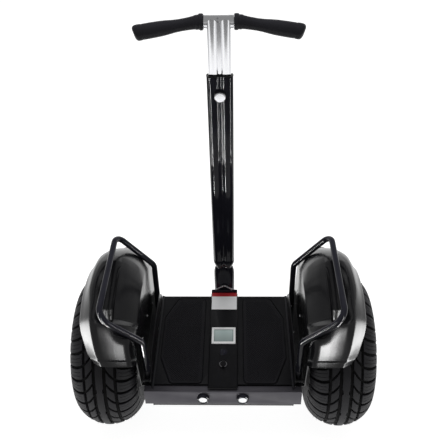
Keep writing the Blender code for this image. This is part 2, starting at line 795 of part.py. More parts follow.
def make_axle_right():
    """The fixed axle, the motor winding on it and the clamp inside the chassis."""
    centre = (0.0, 0.0, AXLE_Z)
    inner_end = DECK_HALF_WIDTH - CHASSIS_WALL - AXLE_CLAMP_LENGTH + 0.004
    collar_low = PLATE_OUTER + SEAT_GAP
    collar_high = collar_low + AXLE_COLLAR_WIDTH
    web = RIM_WEB_WIDTH / 2
    outer_end = WHEEL_X + web + SEAT_GAP + BEARING_WIDTH - 0.001
    profile = [
        (0.0, outer_end), (AXLE_RADIUS, outer_end), (AXLE_RADIUS, collar_high),
        (AXLE_COLLAR_RADIUS, collar_high), (AXLE_COLLAR_RADIUS, collar_low),
        (AXLE_NECK_RADIUS, collar_low), (AXLE_NECK_RADIUS, inner_end), (0.0, inner_end),
    ]
    axle = turned("axle_right", profile, "steel", centre, "X", 16)
    low = WHEEL_X - STATOR_WIDTH / 2
    high = WHEEL_X + STATOR_WIDTH / 2
    core = AXLE_RADIUS + SEAT_GAP
    coil = MOTOR_RADIUS - 0.024
    stator_profile = [
        (MOTOR_RADIUS, high), (MOTOR_RADIUS, low), (coil, low), (core, low + 0.010),
        (core, high - 0.010), (coil, high),
    ]
    stator = turned("motor_stator_right", stator_profile, "copper", centre, "X", 16, True)
    clamp_outer = DECK_HALF_WIDTH - CHASSIS_WALL - SEAT_GAP
    clamp = box(
        "axle_clamp_right",
        (clamp_outer - AXLE_CLAMP_LENGTH, -AXLE_CLAMP_WIDTH / 2, AXLE_Z - AXLE_CLAMP_HEIGHT / 2 - 0.002),
        (clamp_outer, AXLE_CLAMP_WIDTH / 2, DECK_BOTTOM - SEAT_GAP),
        "steel",
    )
    bore = rod(
        "axle_clamp_bore", AXLE_NECK_RADIUS + SEAT_GAP, clamp_outer - AXLE_CLAMP_LENGTH - 0.01,
        clamp_outer + 0.01, None, centre, "X", 16,
    )
    combine(clamp, bore)
    return [axle, stator, clamp]


# Chassis, deck and rear beam

def make_chassis():
    """An open-topped tray with rounded lower edges, bored for the axles and the column pivot."""
    low = Vector((-DECK_HALF_WIDTH, DECK_REAR, CHASSIS_BOTTOM))
    high = Vector((DECK_HALF_WIDTH, CHASSIS_FRONT, DECK_BOTTOM - SEAT_GAP))
    bm = bmesh.new()
    bmesh.ops.create_cube(bm, size=1.0)
    bmesh.ops.scale(bm, vec=high - low, verts=bm.verts[:])
    bmesh.ops.translate(bm, vec=(low + high) / 2, verts=bm.verts[:])
    lower = [
        edge for edge in bm.edges
        if all(vert.co.z < low.z + 0.001 for vert in edge.verts)
        and abs(edge.verts[0].co.y - edge.verts[1].co.y) < 0.001
    ]
    bmesh.ops.bevel(bm, geom=lower, offset=CHASSIS_EDGE_RADIUS, segments=4, affect="EDGES", profile=0.5)
    top = [face for face in bm.faces if all(vert.co.z > high.z - 0.0001 for vert in face.verts)]
    bmesh.ops.delete(bm, geom=top, context="FACES_ONLY")
    tray = add_object("chassis_tray", mesh_from(bm, "chassis_tray"), "satin_black")
    shell = tray.modifiers.new("wall", "SOLIDIFY")
    shell.thickness = CHASSIS_WALL
    shell.offset = -1.0
    shell.use_even_offset = True
    reach = DECK_HALF_WIDTH + 0.02
    axle_bore = rod("tray_axle_bore", AXLE_NECK_RADIUS + SEAT_GAP, -reach, reach, None, (0, 0, AXLE_Z), "X", 16)
    combine(tray, axle_bore)
    pivot_bore = rod(
        "tray_pivot_bore", PIVOT_RADIUS + PIVOT_BUSH_WALL + 2 * SEAT_GAP,
        CHASSIS_FRONT - 0.02, CHASSIS_FRONT + 0.02, None, (0, 0, PIVOT_Z), "Y", 16,
    )
    combine(tray, pivot_bore)
    return tray


def mat_outline(grow):
    """The right foot mat's outline seen from above, made larger by grow."""
    corners = [
        (MAT_INNER - grow, MAT_REAR - grow),
        (MAT_WIDEST - MAT_REAR_CUT[0] + grow, MAT_REAR - grow),
        (MAT_WIDEST + grow, MAT_REAR + MAT_REAR_CUT[1] - grow),
        (MAT_WIDEST + grow, MAT_FRONT - MAT_FRONT_CUT[1] + grow),
        (MAT_WIDEST - MAT_FRONT_CUT[0] + grow, MAT_FRONT + grow),
        (MAT_INNER - grow, MAT_FRONT + grow),
    ]
    return rounded_corners(corners, MAT_CORNER_RADIUS + grow, 2)


def make_deck():
    """The moulded deck cover with a sunk bed for each mat."""
    half = DECK_HALF_WIDTH
    outline = rounded_corners([
        (-half, DECK_REAR), (half, DECK_REAR), (half, DECK_FRONT), (-half, DECK_FRONT),
    ], 0.003, 2)
    deck = plate("deck_cover", outline, DECK_BOTTOM, DECK_TOP, "moulded_black", "Z")
    bed = mat_outline(MAT_GROOVE)
    for side in (1, -1):
        shape = [(side * x, y) for x, y in bed]
        cutter = plate(f"mat_bed_{side}", shape, DECK_TOP - MAT_RECESS_DEPTH, DECK_TOP + 0.01, None, "Z")
        combine(deck, cutter)
    for label, centre, radius in (
        ("button", BUTTON_CENTRE, BUTTON_RADIUS + RUNNING_GAP),
        ("socket", SOCKET_CENTRE, SOCKET_RADIUS + RUNNING_GAP),
    ):
        hole = rod(f"deck_{label}_hole", radius, DECK_BOTTOM - 0.01, DECK_TOP + 0.01, None, (0, centre, 0), "Z", 20)
        combine(deck, hole)
    mat = plate(
        "foot_mat_right", mat_outline(0.0), DECK_TOP - MAT_RECESS_DEPTH + SEAT_GAP,
        DECK_TOP + MAT_PROUD, "mat_rubber", "Z",
    )
    rail = box(
        "deck_rail_right",
        (DECK_HALF_WIDTH - DECK_RAIL_WIDTH, DECK_REAR - DECK_RAIL_OVERHANG, DECK_TOP + SEAT_GAP),
        (DECK_HALF_WIDTH, DECK_FRONT, DECK_TOP + SEAT_GAP + DECK_RAIL_HEIGHT),
        "edge_grey", 0.001, 1,
    )
    return [mat, rail]


def make_rear_beam():
    """A folded channel across the back, open towards the chassis, with a hole for each lamp."""
    outline = rounded_corners([
        (BEAM_FRONT, BEAM_TOP), (BEAM_REAR, BEAM_TOP), (BEAM_REAR, BEAM_TOP - BEAM_HEIGHT),
        (BEAM_FRONT, BEAM_TOP - BEAM_HEIGHT),
    ], 0.0025, 2)
    beam = plate("rear_beam", outline, -BEAM_HALF_LENGTH, BEAM_HALF_LENGTH, "beam_grey")
    hollow = box(
        "beam_hollow",
        (-BEAM_HALF_LENGTH + BEAM_WALL, BEAM_REAR + BEAM_WALL, BEAM_TOP - BEAM_HEIGHT + BEAM_WALL),
        (BEAM_HALF_LENGTH - BEAM_WALL, BEAM_FRONT + 0.01, BEAM_TOP - BEAM_WALL), None,
    )
    combine(beam, hollow)
    lamp_z = BEAM_TOP - LAMP_BELOW_TOP
    for side in (1, -1):
        hole = rod(
            f"lamp_hole_{side}", LAMP_RADIUS - 0.003 + SEAT_GAP, BEAM_REAR - 0.01, BEAM_REAR + 0.01,
            None, (side * LAMP_SPACING / 2, 0, lamp_z), "Y", 24,
        )
        combine(beam, hole)
    centre = (LAMP_SPACING / 2, BEAM_REAR, lamp_z)
    body = LAMP_RADIUS - 0.003
    mouth = LAMP_LENS_RADIUS + SEAT_GAP
    front = LAMP_PROUD
    pocket = front - 0.0110
    bezel_profile = [
        (0.0, pocket), (mouth, pocket), (mouth, front), (LAMP_RADIUS - 0.0030, front),
        (LAMP_RADIUS - 0.0008, front - 0.0030), (LAMP_RADIUS, SEAT_GAP), (body, SEAT_GAP),
        (body, -LAMP_DEPTH), (0.0, -LAMP_DEPTH),
    ]
    bezel = turned("lamp_bezel_right", bezel_profile, "gloss_black", centre, "-Y", 16)
    lens_back = pocket + SEAT_GAP
    lens_profile = [
        (0.0, front - 0.0008), (0.6 * LAMP_LENS_RADIUS, front - 0.0016),
        (LAMP_LENS_RADIUS, front - 0.0050), (LAMP_LENS_RADIUS, lens_back), (0.0, lens_back),
    ]
    lens = turned("lamp_lens_right", lens_profile, "lens", centre, "-Y", 16)
    return [bezel, lens]


# Console

def make_console():
    """The raised strip down the middle of the deck, with its display, button and charging socket."""
    strip = box(
        "console_cover",
        (-CONSOLE_HALF_WIDTH, CONSOLE_REAR, CONSOLE_BOTTOM),
        (CONSOLE_HALF_WIDTH, CONSOLE_FRONT, CONSOLE_TOP), "moulded_black", CONSOLE_CHAMFER, 1,
    )
    ring_top = CONSOLE_TOP + 0.0012
    rim = ring(
        "button_rim", BUTTON_RADIUS + 0.0002, BUTTON_RADIUS + BUTTON_RING,
        CONSOLE_BOTTOM + 0.002, ring_top, None, (0, BUTTON_CENTRE, 0), "Z", 24,
    )
    combine(strip, rim, "UNION")
    for label, centre, radius in (
        ("button", BUTTON_CENTRE, BUTTON_RADIUS + SEAT_GAP),
        ("socket", SOCKET_CENTRE, SOCKET_RADIUS + SEAT_GAP),
    ):
        hole = rod(f"console_{label}_hole", radius, CONSOLE_BOTTOM - 0.01, ring_top + 0.01,
                   None, (0, centre, 0), "Z", 24)
        combine(strip, hole)
    make_display()
    make_button()
    make_charge_socket()


def make_display():
    base = CONSOLE_TOP + SEAT_GAP
    half_width = DISPLAY_WIDTH / 2
    low_y = DISPLAY_CENTRE - DISPLAY_LENGTH / 2
    high_y = DISPLAY_CENTRE + DISPLAY_LENGTH / 2
    bezel = box(
        "display_bezel", (-half_width, low_y, base), (half_width, high_y, base + DISPLAY_HEIGHT),
        "white_plastic", 0.0008, 1,
    )
    window_low = (-half_width + DISPLAY_FRAME, low_y + DISPLAY_FRAME_FAR)
    window_high = (half_width - DISPLAY_FRAME, high_y - DISPLAY_FRAME_FAR)
    window = box(
        "display_window", (*window_low, base - 0.01), (*window_high, base + DISPLAY_HEIGHT + 0.01), None,
    )
    combine(bezel, window)
    box(
        "display_screen",
        (window_low[0] + SEAT_GAP, window_low[1] + SEAT_GAP, base),
        (window_high[0] - SEAT_GAP, window_high[1] - SEAT_GAP, base + SCREEN_HEIGHT), "screen",
    )


def make_button():
    axis = add_axis("power_button_axis", (0, BUTTON_CENTRE, CONSOLE_TOP))
    high = BUTTON_HEIGHT
    low = high - BUTTON_LENGTH
    profile = [
        (0.0, high), (0.45 * BUTTON_RADIUS, high - 0.0003), (0.80 * BUTTON_RADIUS, high - 0.0010),
        (BUTTON_RADIUS, high - 0.0022), (BUTTON_RADIUS, low), (0.0, low),
    ]
    turned("power_button", profile, "bare_aluminium", (0, 0, 0), "Z", 20, parent=axis)


def make_charge_socket():
    base = CONSOLE_TOP + SEAT_GAP
    top = base + SOCKET_FLANGE_HEIGHT
    bottom = base - SOCKET_DEPTH
    profile = [
        (SOCKET_BORE, top), (SOCKET_FLANGE - 0.0006, top), (SOCKET_FLANGE, top - 0.0006),
        (SOCKET_FLANGE, base), (SOCKET_RADIUS, base), (SOCKET_RADIUS, bottom), (0.0, bottom),
    ]
    floor = bottom + 0.006
    opened = [(0.0, floor), (SOCKET_BORE, floor)] + profile
    turned("charge_socket", opened, "steel", (0, SOCKET_CENTRE, 0), "Z", 16)
    cap_low = top + SEAT_GAP
    hinge_y = SOCKET_CENTRE - SOCKET_FLANGE - CAP_HINGE_RADIUS
    hinge_z = cap_low + CAP_HINGE_RADIUS
    axis = add_axis("charge_cap_axis", (0, hinge_y, hinge_z))
    reach = SOCKET_CENTRE - hinge_y
    low = cap_low - hinge_z
    high = low + CAP_THICKNESS
    plug = SOCKET_BORE - 0.0014
    disc = [
        (0.0, high), (0.6 * CAP_RADIUS, high - 0.0003), (CAP_RADIUS - 0.0008, high - 0.0009),
        (CAP_RADIUS, high - 0.0016), (CAP_RADIUS, low), (plug, low), (plug, low - 0.0012), (0.0, low - 0.0012),
    ]
    cap = turned("charge_cap", disc, "moulded_black", (0, reach, 0), "Z", 16, parent=axis)
    strap = box(
        "cap_strap", (-0.0035, -0.0002, low + 0.0003), (0.0035, reach - 0.6 * CAP_RADIUS, low + 0.0018),
        None, parent=axis,
    )
    combine(cap, strap, "UNION")
    barrel = rod("cap_barrel", CAP_HINGE_RADIUS, -0.0045, 0.0045, None, (0, 0, 0), "X", 8, parent=axis)
    combine(cap, barrel, "UNION")


# Inside the chassis

def make_inner_pieces():
    floor = CHASSIS_BOTTOM + CHASSIS_WALL + SEAT_GAP
    width, length, height = BATTERY_SIZE
    box(
        "battery_pack", (-width / 2, BATTERY_CENTRE_Y - length / 2, floor),
        (width / 2, BATTERY_CENTRE_Y + length / 2, floor + height), "battery_blue", 0.004, 1,
    )
    width, length, height = BOARD_SIZE
    board = box(
        "control_board", (-width / 2, BOARD_CENTRE_Y - length / 2, floor),
        (width / 2, BOARD_CENTRE_Y + length / 2, floor + height), "board_green",
    )
    fin_gap = width / 9
    for index in range(8):
        x = -width / 2 + fin_gap * (index + 1)
        fin = box(
            f"board_fin_{index}", (x - 0.002, BOARD_CENTRE_Y - 0.4 * length, floor + height / 2),
            (x + 0.002, BOARD_CENTRE_Y + 0.4 * length, floor + height + 0.016), None,
        )
        combine(board, fin, "UNION")


# Side plates, fenders and handrails

def make_side_plate():
    corners = [
        (PLATE_REAR, PLATE_BOTTOM), (PLATE_FRONT, PLATE_BOTTOM), (PLATE_FRONT, DECK_TOP + 0.013),
        (PLATE_FRONT - 0.050, PLATE_TOP), (PLATE_REAR + 0.051, PLATE_TOP),
        (PLATE_REAR + 0.027, PLATE_TOP - 0.033), (PLATE_REAR, DECK_TOP + 0.018),
    ]
    side = plate("side_plate_right", rounded_corners(corners, 0.008, 3), PLATE_INNER, PLATE_OUTER, "satin_black")
    bore = rod(
        "side_plate_bore", AXLE_NECK_RADIUS + SEAT_GAP, PLATE_INNER - 0.01, PLATE_OUTER + 0.01,
        None, (0, 0, AXLE_Z), "X", 16,
    )
    combine(side, bore)
    return side


def smooth_step(value, low, high):
    share = min(1.0, max(0.0, (value - low) / (high - low)))
    return share * share * (3 - 2 * share)


def fender_angles():
    """Stations from the front lip over the top to the rear lip, closer together at the trough's ramps."""
    first = FENDER_END_ANGLE
    last = 180.0 - FENDER_END_ANGLE
    half_ramp = TROUGH_RAMP_ANGLE / 2
    stretches = (
        (first, first + 0.26 * FENDER_LIP_ANGLE, 1),
        (first + 0.26 * FENDER_LIP_ANGLE, first + FENDER_LIP_ANGLE, 1),
        (first + FENDER_LIP_ANGLE, TROUGH_FRONT_ANGLE - half_ramp, 4),
        (TROUGH_FRONT_ANGLE - half_ramp, TROUGH_FRONT_ANGLE + half_ramp, 3),
        (TROUGH_FRONT_ANGLE + half_ramp, TROUGH_REAR_ANGLE - half_ramp, 5),
        (TROUGH_REAR_ANGLE - half_ramp, TROUGH_REAR_ANGLE + half_ramp, 3),
        (TROUGH_REAR_ANGLE + half_ramp, last - FENDER_LIP_ANGLE, 4),
        (last - FENDER_LIP_ANGLE, last - 0.26 * FENDER_LIP_ANGLE, 1),
        (last - 0.26 * FENDER_LIP_ANGLE, last, 1),
    )
    angles = [first]
    for low, high, count in stretches:
        angles += [low + (high - low) * (step + 1) / count for step in range(count)]
    return angles


def fender_width_share(angle):
    """The fender narrows on its outer side towards both ends, and most at the lips."""
    from_end = min(angle, 180.0 - angle) - FENDER_END_ANGLE
    reach = FENDER_TAPER_ANGLE - FENDER_END_ANGLE
    taper = FENDER_TAPER_SHARE * (1 - smooth_step(from_end, -0.25 * reach, reach))
    lip = FENDER_LIP_TAPER_SHARE * (1 - smooth_step(from_end, 0.0, 1.5 * FENDER_LIP_ANGLE))
    return 1.0 - taper - lip


def make_fender():
    """A moulded hood: a crowned arch with a finger trough sunk under the handrail beside a raised pod."""
    outer_x = WHEEL_X + FENDER_OUTER_REACH
    edge = TYRE_RADIUS + FENDER_EDGE_GAP
    crown = TYRE_RADIUS + FENDER_CROWN_GAP
    angles = fender_angles()
    half_ramp = TROUGH_RAMP_ANGLE / 2
    rings = []
    for station, angle in enumerate(angles):
        sunk = TROUGH_DEPTH * (
            smooth_step(angle, TROUGH_FRONT_ANGLE - half_ramp, TROUGH_FRONT_ANGLE + half_ramp)
            - smooth_step(angle, TROUGH_REAR_ANGLE - half_ramp, TROUGH_REAR_ANGLE + half_ramp)
        )
        from_front = angle - FENDER_END_ANGLE
        from_rear = 180.0 - FENDER_END_ANGLE - angle
        from_end = min(from_front, from_rear)
        flare = FENDER_LIP_FLARE * min(1.0, max(0.0, 1.35 * (1 - from_end / FENDER_LIP_ANGLE)))
        inward = FENDER_LIP_INWARD * (1 - smooth_step(from_rear, 0.0, 0.45 * FENDER_SQUARE_ANGLE))
        square = 1 - smooth_step(from_rear, 0.0, FENDER_SQUARE_ANGLE)
        width = (outer_x - PANEL_X) * fender_width_share(angle) + inward
        turn = math.radians(angle)
        points = []
        for across, over_wheel, at_end, trough in FENDER_PROFILE_SHARES:
            height = over_wheel + (at_end - over_wheel) * square
            radius = edge + (crown - edge) * height - sunk * trough + flare
            x = PANEL_X - inward + width * across
            points.append((x, radius * math.cos(turn), AXLE_Z + radius * math.sin(turn)))
        rise = FENDER_PANEL_FRONT_RISE * (1 - smooth_step(from_front, 0.0, FENDER_SQUARE_ANGLE))
        panel = FENDER_PANEL_RADIUS + rise
        points.append((PANEL_X, panel * math.cos(turn), AXLE_Z + panel * math.sin(turn)))
        share = station / (len(angles) - 1)
        along = FENDER_PANEL_FRONT + (FENDER_PANEL_REAR - FENDER_PANEL_FRONT) * share
        on_plate = PLATE_FRONT + (FENDER_PANEL_REAR - PLATE_FRONT) * share
        points.append((PANEL_X, along, PANEL_BOTTOM))
        points.append((PLATE_OUTER + SEAT_GAP, on_plate, PANEL_BOTTOM))
        rings.append(points)
    fender = ring_loft("fender_right", rings, "moulded_black", False, False)
    shell = fender.modifiers.new("wall", "SOLIDIFY")
    shell.thickness = FENDER_WALL
    shell.offset = -1.0
    shell.use_even_offset = False
    return shade_smooth(fender, 40.0)


def make_handrail():
    """A bent tube: two feet on the side plate, out over the fender and along its finger trough."""
    rear_foot, rear_top, rear_outer = RAIL_REAR_Y
    front_foot, front_top, front_outer = RAIL_FRONT_Y
    corners = [
        (RAIL_LEG_X, rear_foot, RAIL_FOOT_Z), (RAIL_LEG_X, rear_top, RAIL_SHOULDER_Z),
        (RAIL_OUTER_X, rear_outer, RAIL_OUTER_Z), (RAIL_OUTER_X, front_outer, RAIL_OUTER_Z),
        (RAIL_LEG_X, front_top, RAIL_SHOULDER_Z - 0.008), (RAIL_LEG_X, front_foot, RAIL_FOOT_Z),
    ]
    rail = tube("handrail_right", bent_path(corners, RAIL_BEND_RADIUS, 4), RAIL_RADIUS, "gloss_black", 10)
    return shade_smooth(rail, 50.0)


def make_fender_stud():
    """The tie bolt that holds the fender panel off the side plate."""
    low = PLATE_OUTER + SEAT_GAP
    high = PANEL_X - SEAT_GAP
    profile = [
        (0.0, high), (STUD_FLANGE_RADIUS, high), (STUD_FLANGE_RADIUS, high - STUD_FLANGE),
        (STUD_RADIUS, high - STUD_FLANGE), (STUD_RADIUS, low + STUD_FLANGE),
        (STUD_FLANGE_RADIUS, low + STUD_FLANGE), (STUD_FLANGE_RADIUS, low), (0.0, low),
    ]
    return turned("fender_stud_right", profile, "steel", (0, STUD_REAR_Y, STUD_Z), "X", 10)


# Steering column

def lobe_outline(radius, along, offset=LOBE_OFFSET, steps=5):
    """The twin-lobe section of the column at a distance along it: two round lobes and a flat web between."""
    web = math.asin((radius - LOBE_WEB_DIP) / radius)
    points = []
    for side, start in ((1, -math.pi + web), (-1, web)):
        span = 2 * math.pi - 2 * web
        for step in range(2 * steps + 1):
            angle = start + span * step / (2 * steps)
            x = side * offset + radius * math.cos(angle)
            points.append((x, radius * math.sin(angle), along))
    return points


def lobe_tube(name, low, high, outer, inner, finish_name, parent):
    """A hollow twin-lobe piece between two distances along the column."""
    rings = [
        lobe_outline(outer, low), lobe_outline(outer, high), lobe_outline(inner, high), lobe_outline(inner, low),
    ]
    return shade_smooth(ring_loft(name, rings, finish_name, parent=parent), 40.0)


def lobe_solid(name, levels, finish_name, parent):
    """A solid twin-lobe piece through (distance, radius, offset) levels, which may step back inside itself."""
    rings = [lobe_outline(radius, along, offset) for along, radius, offset in levels]
    solid = ring_loft(name, rings, finish_name, loop_closed=False, capped=True, parent=parent)
    return shade_smooth(solid, 40.0)


def make_column():
    turn = (COLUMN_LEAN_ANGLE, 0.0, 0.0)
    axis = add_axis("column_axis", (0.0, PIVOT_Y, PIVOT_Z), turn)
    make_column_foot(axis)
    outer_tube = lobe_tube("outer_tube", TUBE_BOTTOM, TUBE_TOP, LOBE_RADIUS, TUBE_BORE, "gloss_black", axis)
    hole = rod(
        "knob_hole", KNOB_STEM_RADIUS + 0.0008, -LOBE_RADIUS - 0.01, LOBE_WEB_DIP - INNER_RADIUS + 0.002,
        None, (0, 0, KNOB_ALONG), "Y", 12, parent=axis,
    )
    combine(outer_tube, hole)
    plug = TUBE_BORE - SEAT_GAP
    top = TUBE_BOTTOM + PLUG_LENGTH
    pocket = STEM_LEVELS[0][0] + STUB_LENGTH + SEAT_GAP
    levels = [(top, plug, LOBE_OFFSET), (PLUG_LEVELS[0][0], plug, LOBE_OFFSET), *PLUG_LEVELS]
    levels += [
        (PLUG_LEVELS[-1][0], STUB_RADIUS + SEAT_GAP, STUB_OFFSET), (pocket, STUB_RADIUS + SEAT_GAP, STUB_OFFSET),
    ]
    lobe_solid("lower_collar", levels, "gloss_black", axis)
    low = TUBE_TOP + SEAT_GAP
    high = low + COLLAR_HEIGHT
    lobe_tube("upper_collar", low, high, LOBE_RADIUS + COLLAR_PROUD, TUBE_BORE, "moulded_black", axis)
    make_knob(axis)
    make_height_slide(axis)


def make_column_foot(axis):
    """The pivoting plate, with the twin-lobe stem of the column welded in front of it round the pivot's hub."""
    half = FOOT_HALF_WIDTH
    top = AXLE_Z + FOOT_ABOVE_AXLE
    bottom = AXLE_Z - FOOT_BELOW_AXLE
    corners = [(-half, top), (half, top), (half, bottom), (-half, bottom)]
    outline = []
    for index, radius in enumerate((0.004, 0.004, FOOT_CORNER_RADIUS, FOOT_CORNER_RADIUS)):
        before = Vector(corners[index - 1])
        after = Vector(corners[(index + 1) % 4])
        outline.extend(corner_arc(before, Vector(corners[index]), after, radius, 4))
    foot = plate("column_foot", outline, FOOT_REAR, FOOT_REAR + FOOT_THICKNESS, "satin_black", "Y")
    levels = [(STEM_LEVELS[0][0] + STUB_LENGTH, STUB_RADIUS, STUB_OFFSET)]
    levels += [(STEM_LEVELS[0][0], STUB_RADIUS, STUB_OFFSET), *STEM_LEVELS]
    levels.append((STEM_BOTTOM, *STEM_LEVELS[-1][1:]))
    stem = lobe_solid("column_stem", levels, None, axis)
    combine(foot, stem, "UNION")
    centre = (0, 0, PIVOT_Z)
    hub = rod("column_hub", HUB_RADIUS, FOOT_REAR + 0.001, HUB_FRONT, None, centre, "Y", 20)
    combine(foot, hub, "UNION")
    bore = rod("foot_bore", PIVOT_RADIUS + SEAT_GAP, FOOT_REAR - 0.01, HUB_FRONT + 0.01, None, centre, "Y", 16)
    combine(foot, bore)
    nut = PIVOT_REAR - PIVOT_NUT_WIDTH
    profile = [
        (0.0, HUB_FRONT - 0.001), (PIVOT_RADIUS, HUB_FRONT - 0.001), (PIVOT_RADIUS, PIVOT_REAR),
        (PIVOT_NUT_RADIUS, PIVOT_REAR), (PIVOT_NUT_RADIUS, nut), (0.0, nut),
    ]
    turned("pivot_shaft", profile, "steel", centre, "Y", 16)
    make_pivot_bearing()


def make_pivot_bearing():
    """The bearing block behind the chassis front wall, its bush, and the rubber sleeve that centres the column."""
    width, height = PIVOT_HOUSING[0], PIVOT_HOUSING[2]
    front = HOUSING_FRONT
    rear = HOUSING_REAR
    top = DECK_BOTTOM - SEAT_GAP
    housing = box("pivot_housing", (-width / 2, rear, top - height), (width / 2, front, top), "steel", 0.002, 1)
    bush_outer = PIVOT_RADIUS + SEAT_GAP + PIVOT_BUSH_WALL
    seat = rod("housing_bore", bush_outer + SEAT_GAP, rear - 0.01, front + 0.01, None, (0, 0, PIVOT_Z), "Y", 16)
    combine(housing, seat)
    ring(
        "pivot_bush", PIVOT_RADIUS + SEAT_GAP, bush_outer, rear, FOOT_REAR - SEAT_GAP,
        "bronze", (0, 0, PIVOT_Z), "Y", 16,
    )
    ring(
        "centring_rubber", PIVOT_RADIUS + SEAT_GAP, bush_outer + 0.004, PIVOT_REAR + SEAT_GAP,
        rear - SEAT_GAP, "grip_rubber", (0, 0, PIVOT_Z), "Y", 16,
    )


def make_knob(axis):
    """The screw knob on the back of the outer tube that clamps the inner one."""
    face = -LOBE_RADIUS - SEAT_GAP
    knob_axis = add_axis("lock_knob_axis", (0.0, face, KNOB_ALONG), parent=axis)
    on_lobes = math.sqrt(max(0.0, INNER_RADIUS ** 2 - (LOBE_OFFSET - KNOB_STEM_RADIUS) ** 2))
    inner_surface = max(on_lobes, INNER_RADIUS - LOBE_WEB_DIP)
    stem = -face - inner_surface - SEAT_GAP
    profile = [
        (0.0, KNOB_HEIGHT), (KNOB_RADIUS - 0.001, KNOB_HEIGHT), (KNOB_RADIUS, KNOB_HEIGHT - 0.001),
        (KNOB_RADIUS, 0.003), (KNOB_RADIUS - 0.004, 0.0), (KNOB_STEM_RADIUS, 0.0),
        (KNOB_STEM_RADIUS, -stem), (0.0, -stem),
    ]
    turned("lock_knob", profile, "moulded_black", (0, 0, 0), "-Y", 18, parent=knob_axis)
    low = KNOB_HEIGHT + SEAT_GAP
    rod(
        "lock_knob_cap", KNOB_CAP_RADIUS, low, low + KNOB_CAP_THICKNESS, "bare_aluminium",
        (0, 0, 0), "-Y", 18, parent=knob_axis,
    )


def grip_path():
    """The bar's centre line on the right, from the middle outwards, in the column's frame."""
    straight = GRIP_START + 0.012
    corners = [
        (0.0, 0.0, 0.0), (straight, 0.0, 0.0),
        (GRIP_END + 0.004, -BAR_SWEEP, -BAR_DROP),
    ]
    return bent_path(corners, 0.12, 5)


def point_at(path, x):
    for first, second in zip(path, path[1:]):
        if second.x >= x:
            share = (x - first.x) / (second.x - first.x)
            return first.lerp(second, share)
    return path[-1]


def make_height_slide(axis):
    """What slides in the outer tube: the inner extrusion, the sleeve on top, the bar and its grips."""
    slide = add_axis("height_slide_axis", (0.0, BAR_FORWARD, BAR_ALONG), parent=axis)
    inner = lobe_tube(
        "inner_tube", INNER_BOTTOM - BAR_ALONG, INNER_TOP_REAR - BAR_ALONG + 0.002, INNER_RADIUS,
        INNER_RADIUS - INNER_WALL, "bare_aluminium", slide,
    )
    inner.location.y = -BAR_FORWARD
    cope = rod(
        "sleeve_cope", SLEEVE_RADIUS + SEAT_GAP, -SLEEVE_HALF_LENGTH - 0.02, SLEEVE_HALF_LENGTH + 0.02,
        None, (0, 0, 0), "X", 24, parent=slide,
    )
    combine(inner, cope)
    crest = Vector((-INNER_RADIUS - BAR_FORWARD, INNER_TOP_REAR - BAR_ALONG))
    web = Vector((LOBE_WEB_DIP - INNER_RADIUS - BAR_FORWARD, INNER_TOP_WEB - BAR_ALONG))
    slope = (crest - web) / (crest.y - web.y)
    front = INNER_TOP_FRONT - BAR_ALONG
    upper = crest + slope * 0.01
    lower = web + slope * (front - web.y)
    outline = [upper, lower, (0.05, front), (0.05, upper.y)]
    top_cut = plate("inner_top_cut", outline, -0.05, 0.05, None, "X")
    top_cut.matrix_world = slide.matrix_world @ top_cut.matrix_world
    combine(inner, top_cut)
    ring(
        "bar_sleeve", BAR_RADIUS + SEAT_GAP, SLEEVE_RADIUS, -SLEEVE_HALF_LENGTH, SLEEVE_HALF_LENGTH,
        "bare_aluminium", (0, 0, 0), "X", 24, slide,
    )
    right = grip_path()
    inside = [point for point in right[1:] if point.x < BAR_HALF_LENGTH]
    inside.append(point_at(right, BAR_HALF_LENGTH))
    left = [Vector((-point.x, point.y, point.z)) for point in reversed(inside)]
    bar = tube("handlebar", left + inside, BAR_RADIUS, "bare_aluminium", 10)
    bar.matrix_world = slide.matrix_world @ bar.matrix_world
    shade_smooth(bar, 50.0)
    grip = make_grip(right)
    grip.matrix_world = slide.matrix_world @ grip.matrix_world
    mirrored(grip)


def make_grip(path):
    """A moulded grip round the bar: flange, waist and palm swell, its domed end cut back on the rider's side."""
    length = GRIP_END - GRIP_START
    rings = []
    for share, radius, lean in GRIP_PROFILE:
        along = GRIP_START + share * length
        centre = point_at(path, along)
        tangent = (point_at(path, along + 0.001) - point_at(path, along - 0.001)).normalized()
        up = Vector((0, 0, 1)).cross(tangent).cross(tangent).normalized() * -1
        side = tangent.cross(up)
        points = []
        for step in range(GRIP_SIDES):
            angle = 2 * math.pi * step / GRIP_SIDES
            out = up * math.cos(angle) + side * math.sin(angle)
            rearward = 1 - (out.y + out.z) / math.sqrt(2)
            points.append(centre + out * radius - tangent * (lean * radius * rearward))
        rings.append(points)
    grip = ring_loft("grip_right", rings, "grip_rubber", loop_closed=False, capped=True)
    bore_points = [point_at(path, GRIP_START) - Vector((0.006, 0, 0))]
    bore_points += [point for point in path if GRIP_START < point.x < BAR_HALF_LENGTH]
    bore_points.append(point_at(path, BAR_HALF_LENGTH + 0.0006))
    bore = tube("grip_bore", bore_points, BAR_RADIUS + GRIP_BORE_GAP, None, 10)
    combine(grip, bore)
    return shade_smooth(bake(grip), 40.0)


def bake(obj):
    """The object with its modifiers applied, so that it can be moved away from its cutters."""
    bpy.context.view_layer.update()
    graph = bpy.context.evaluated_depsgraph_get()
    mesh = bpy.data.meshes.new_from_object(obj.evaluated_get(graph), depsgraph=graph)
    obj.modifiers.clear()
    obj.data = mesh
    return obj


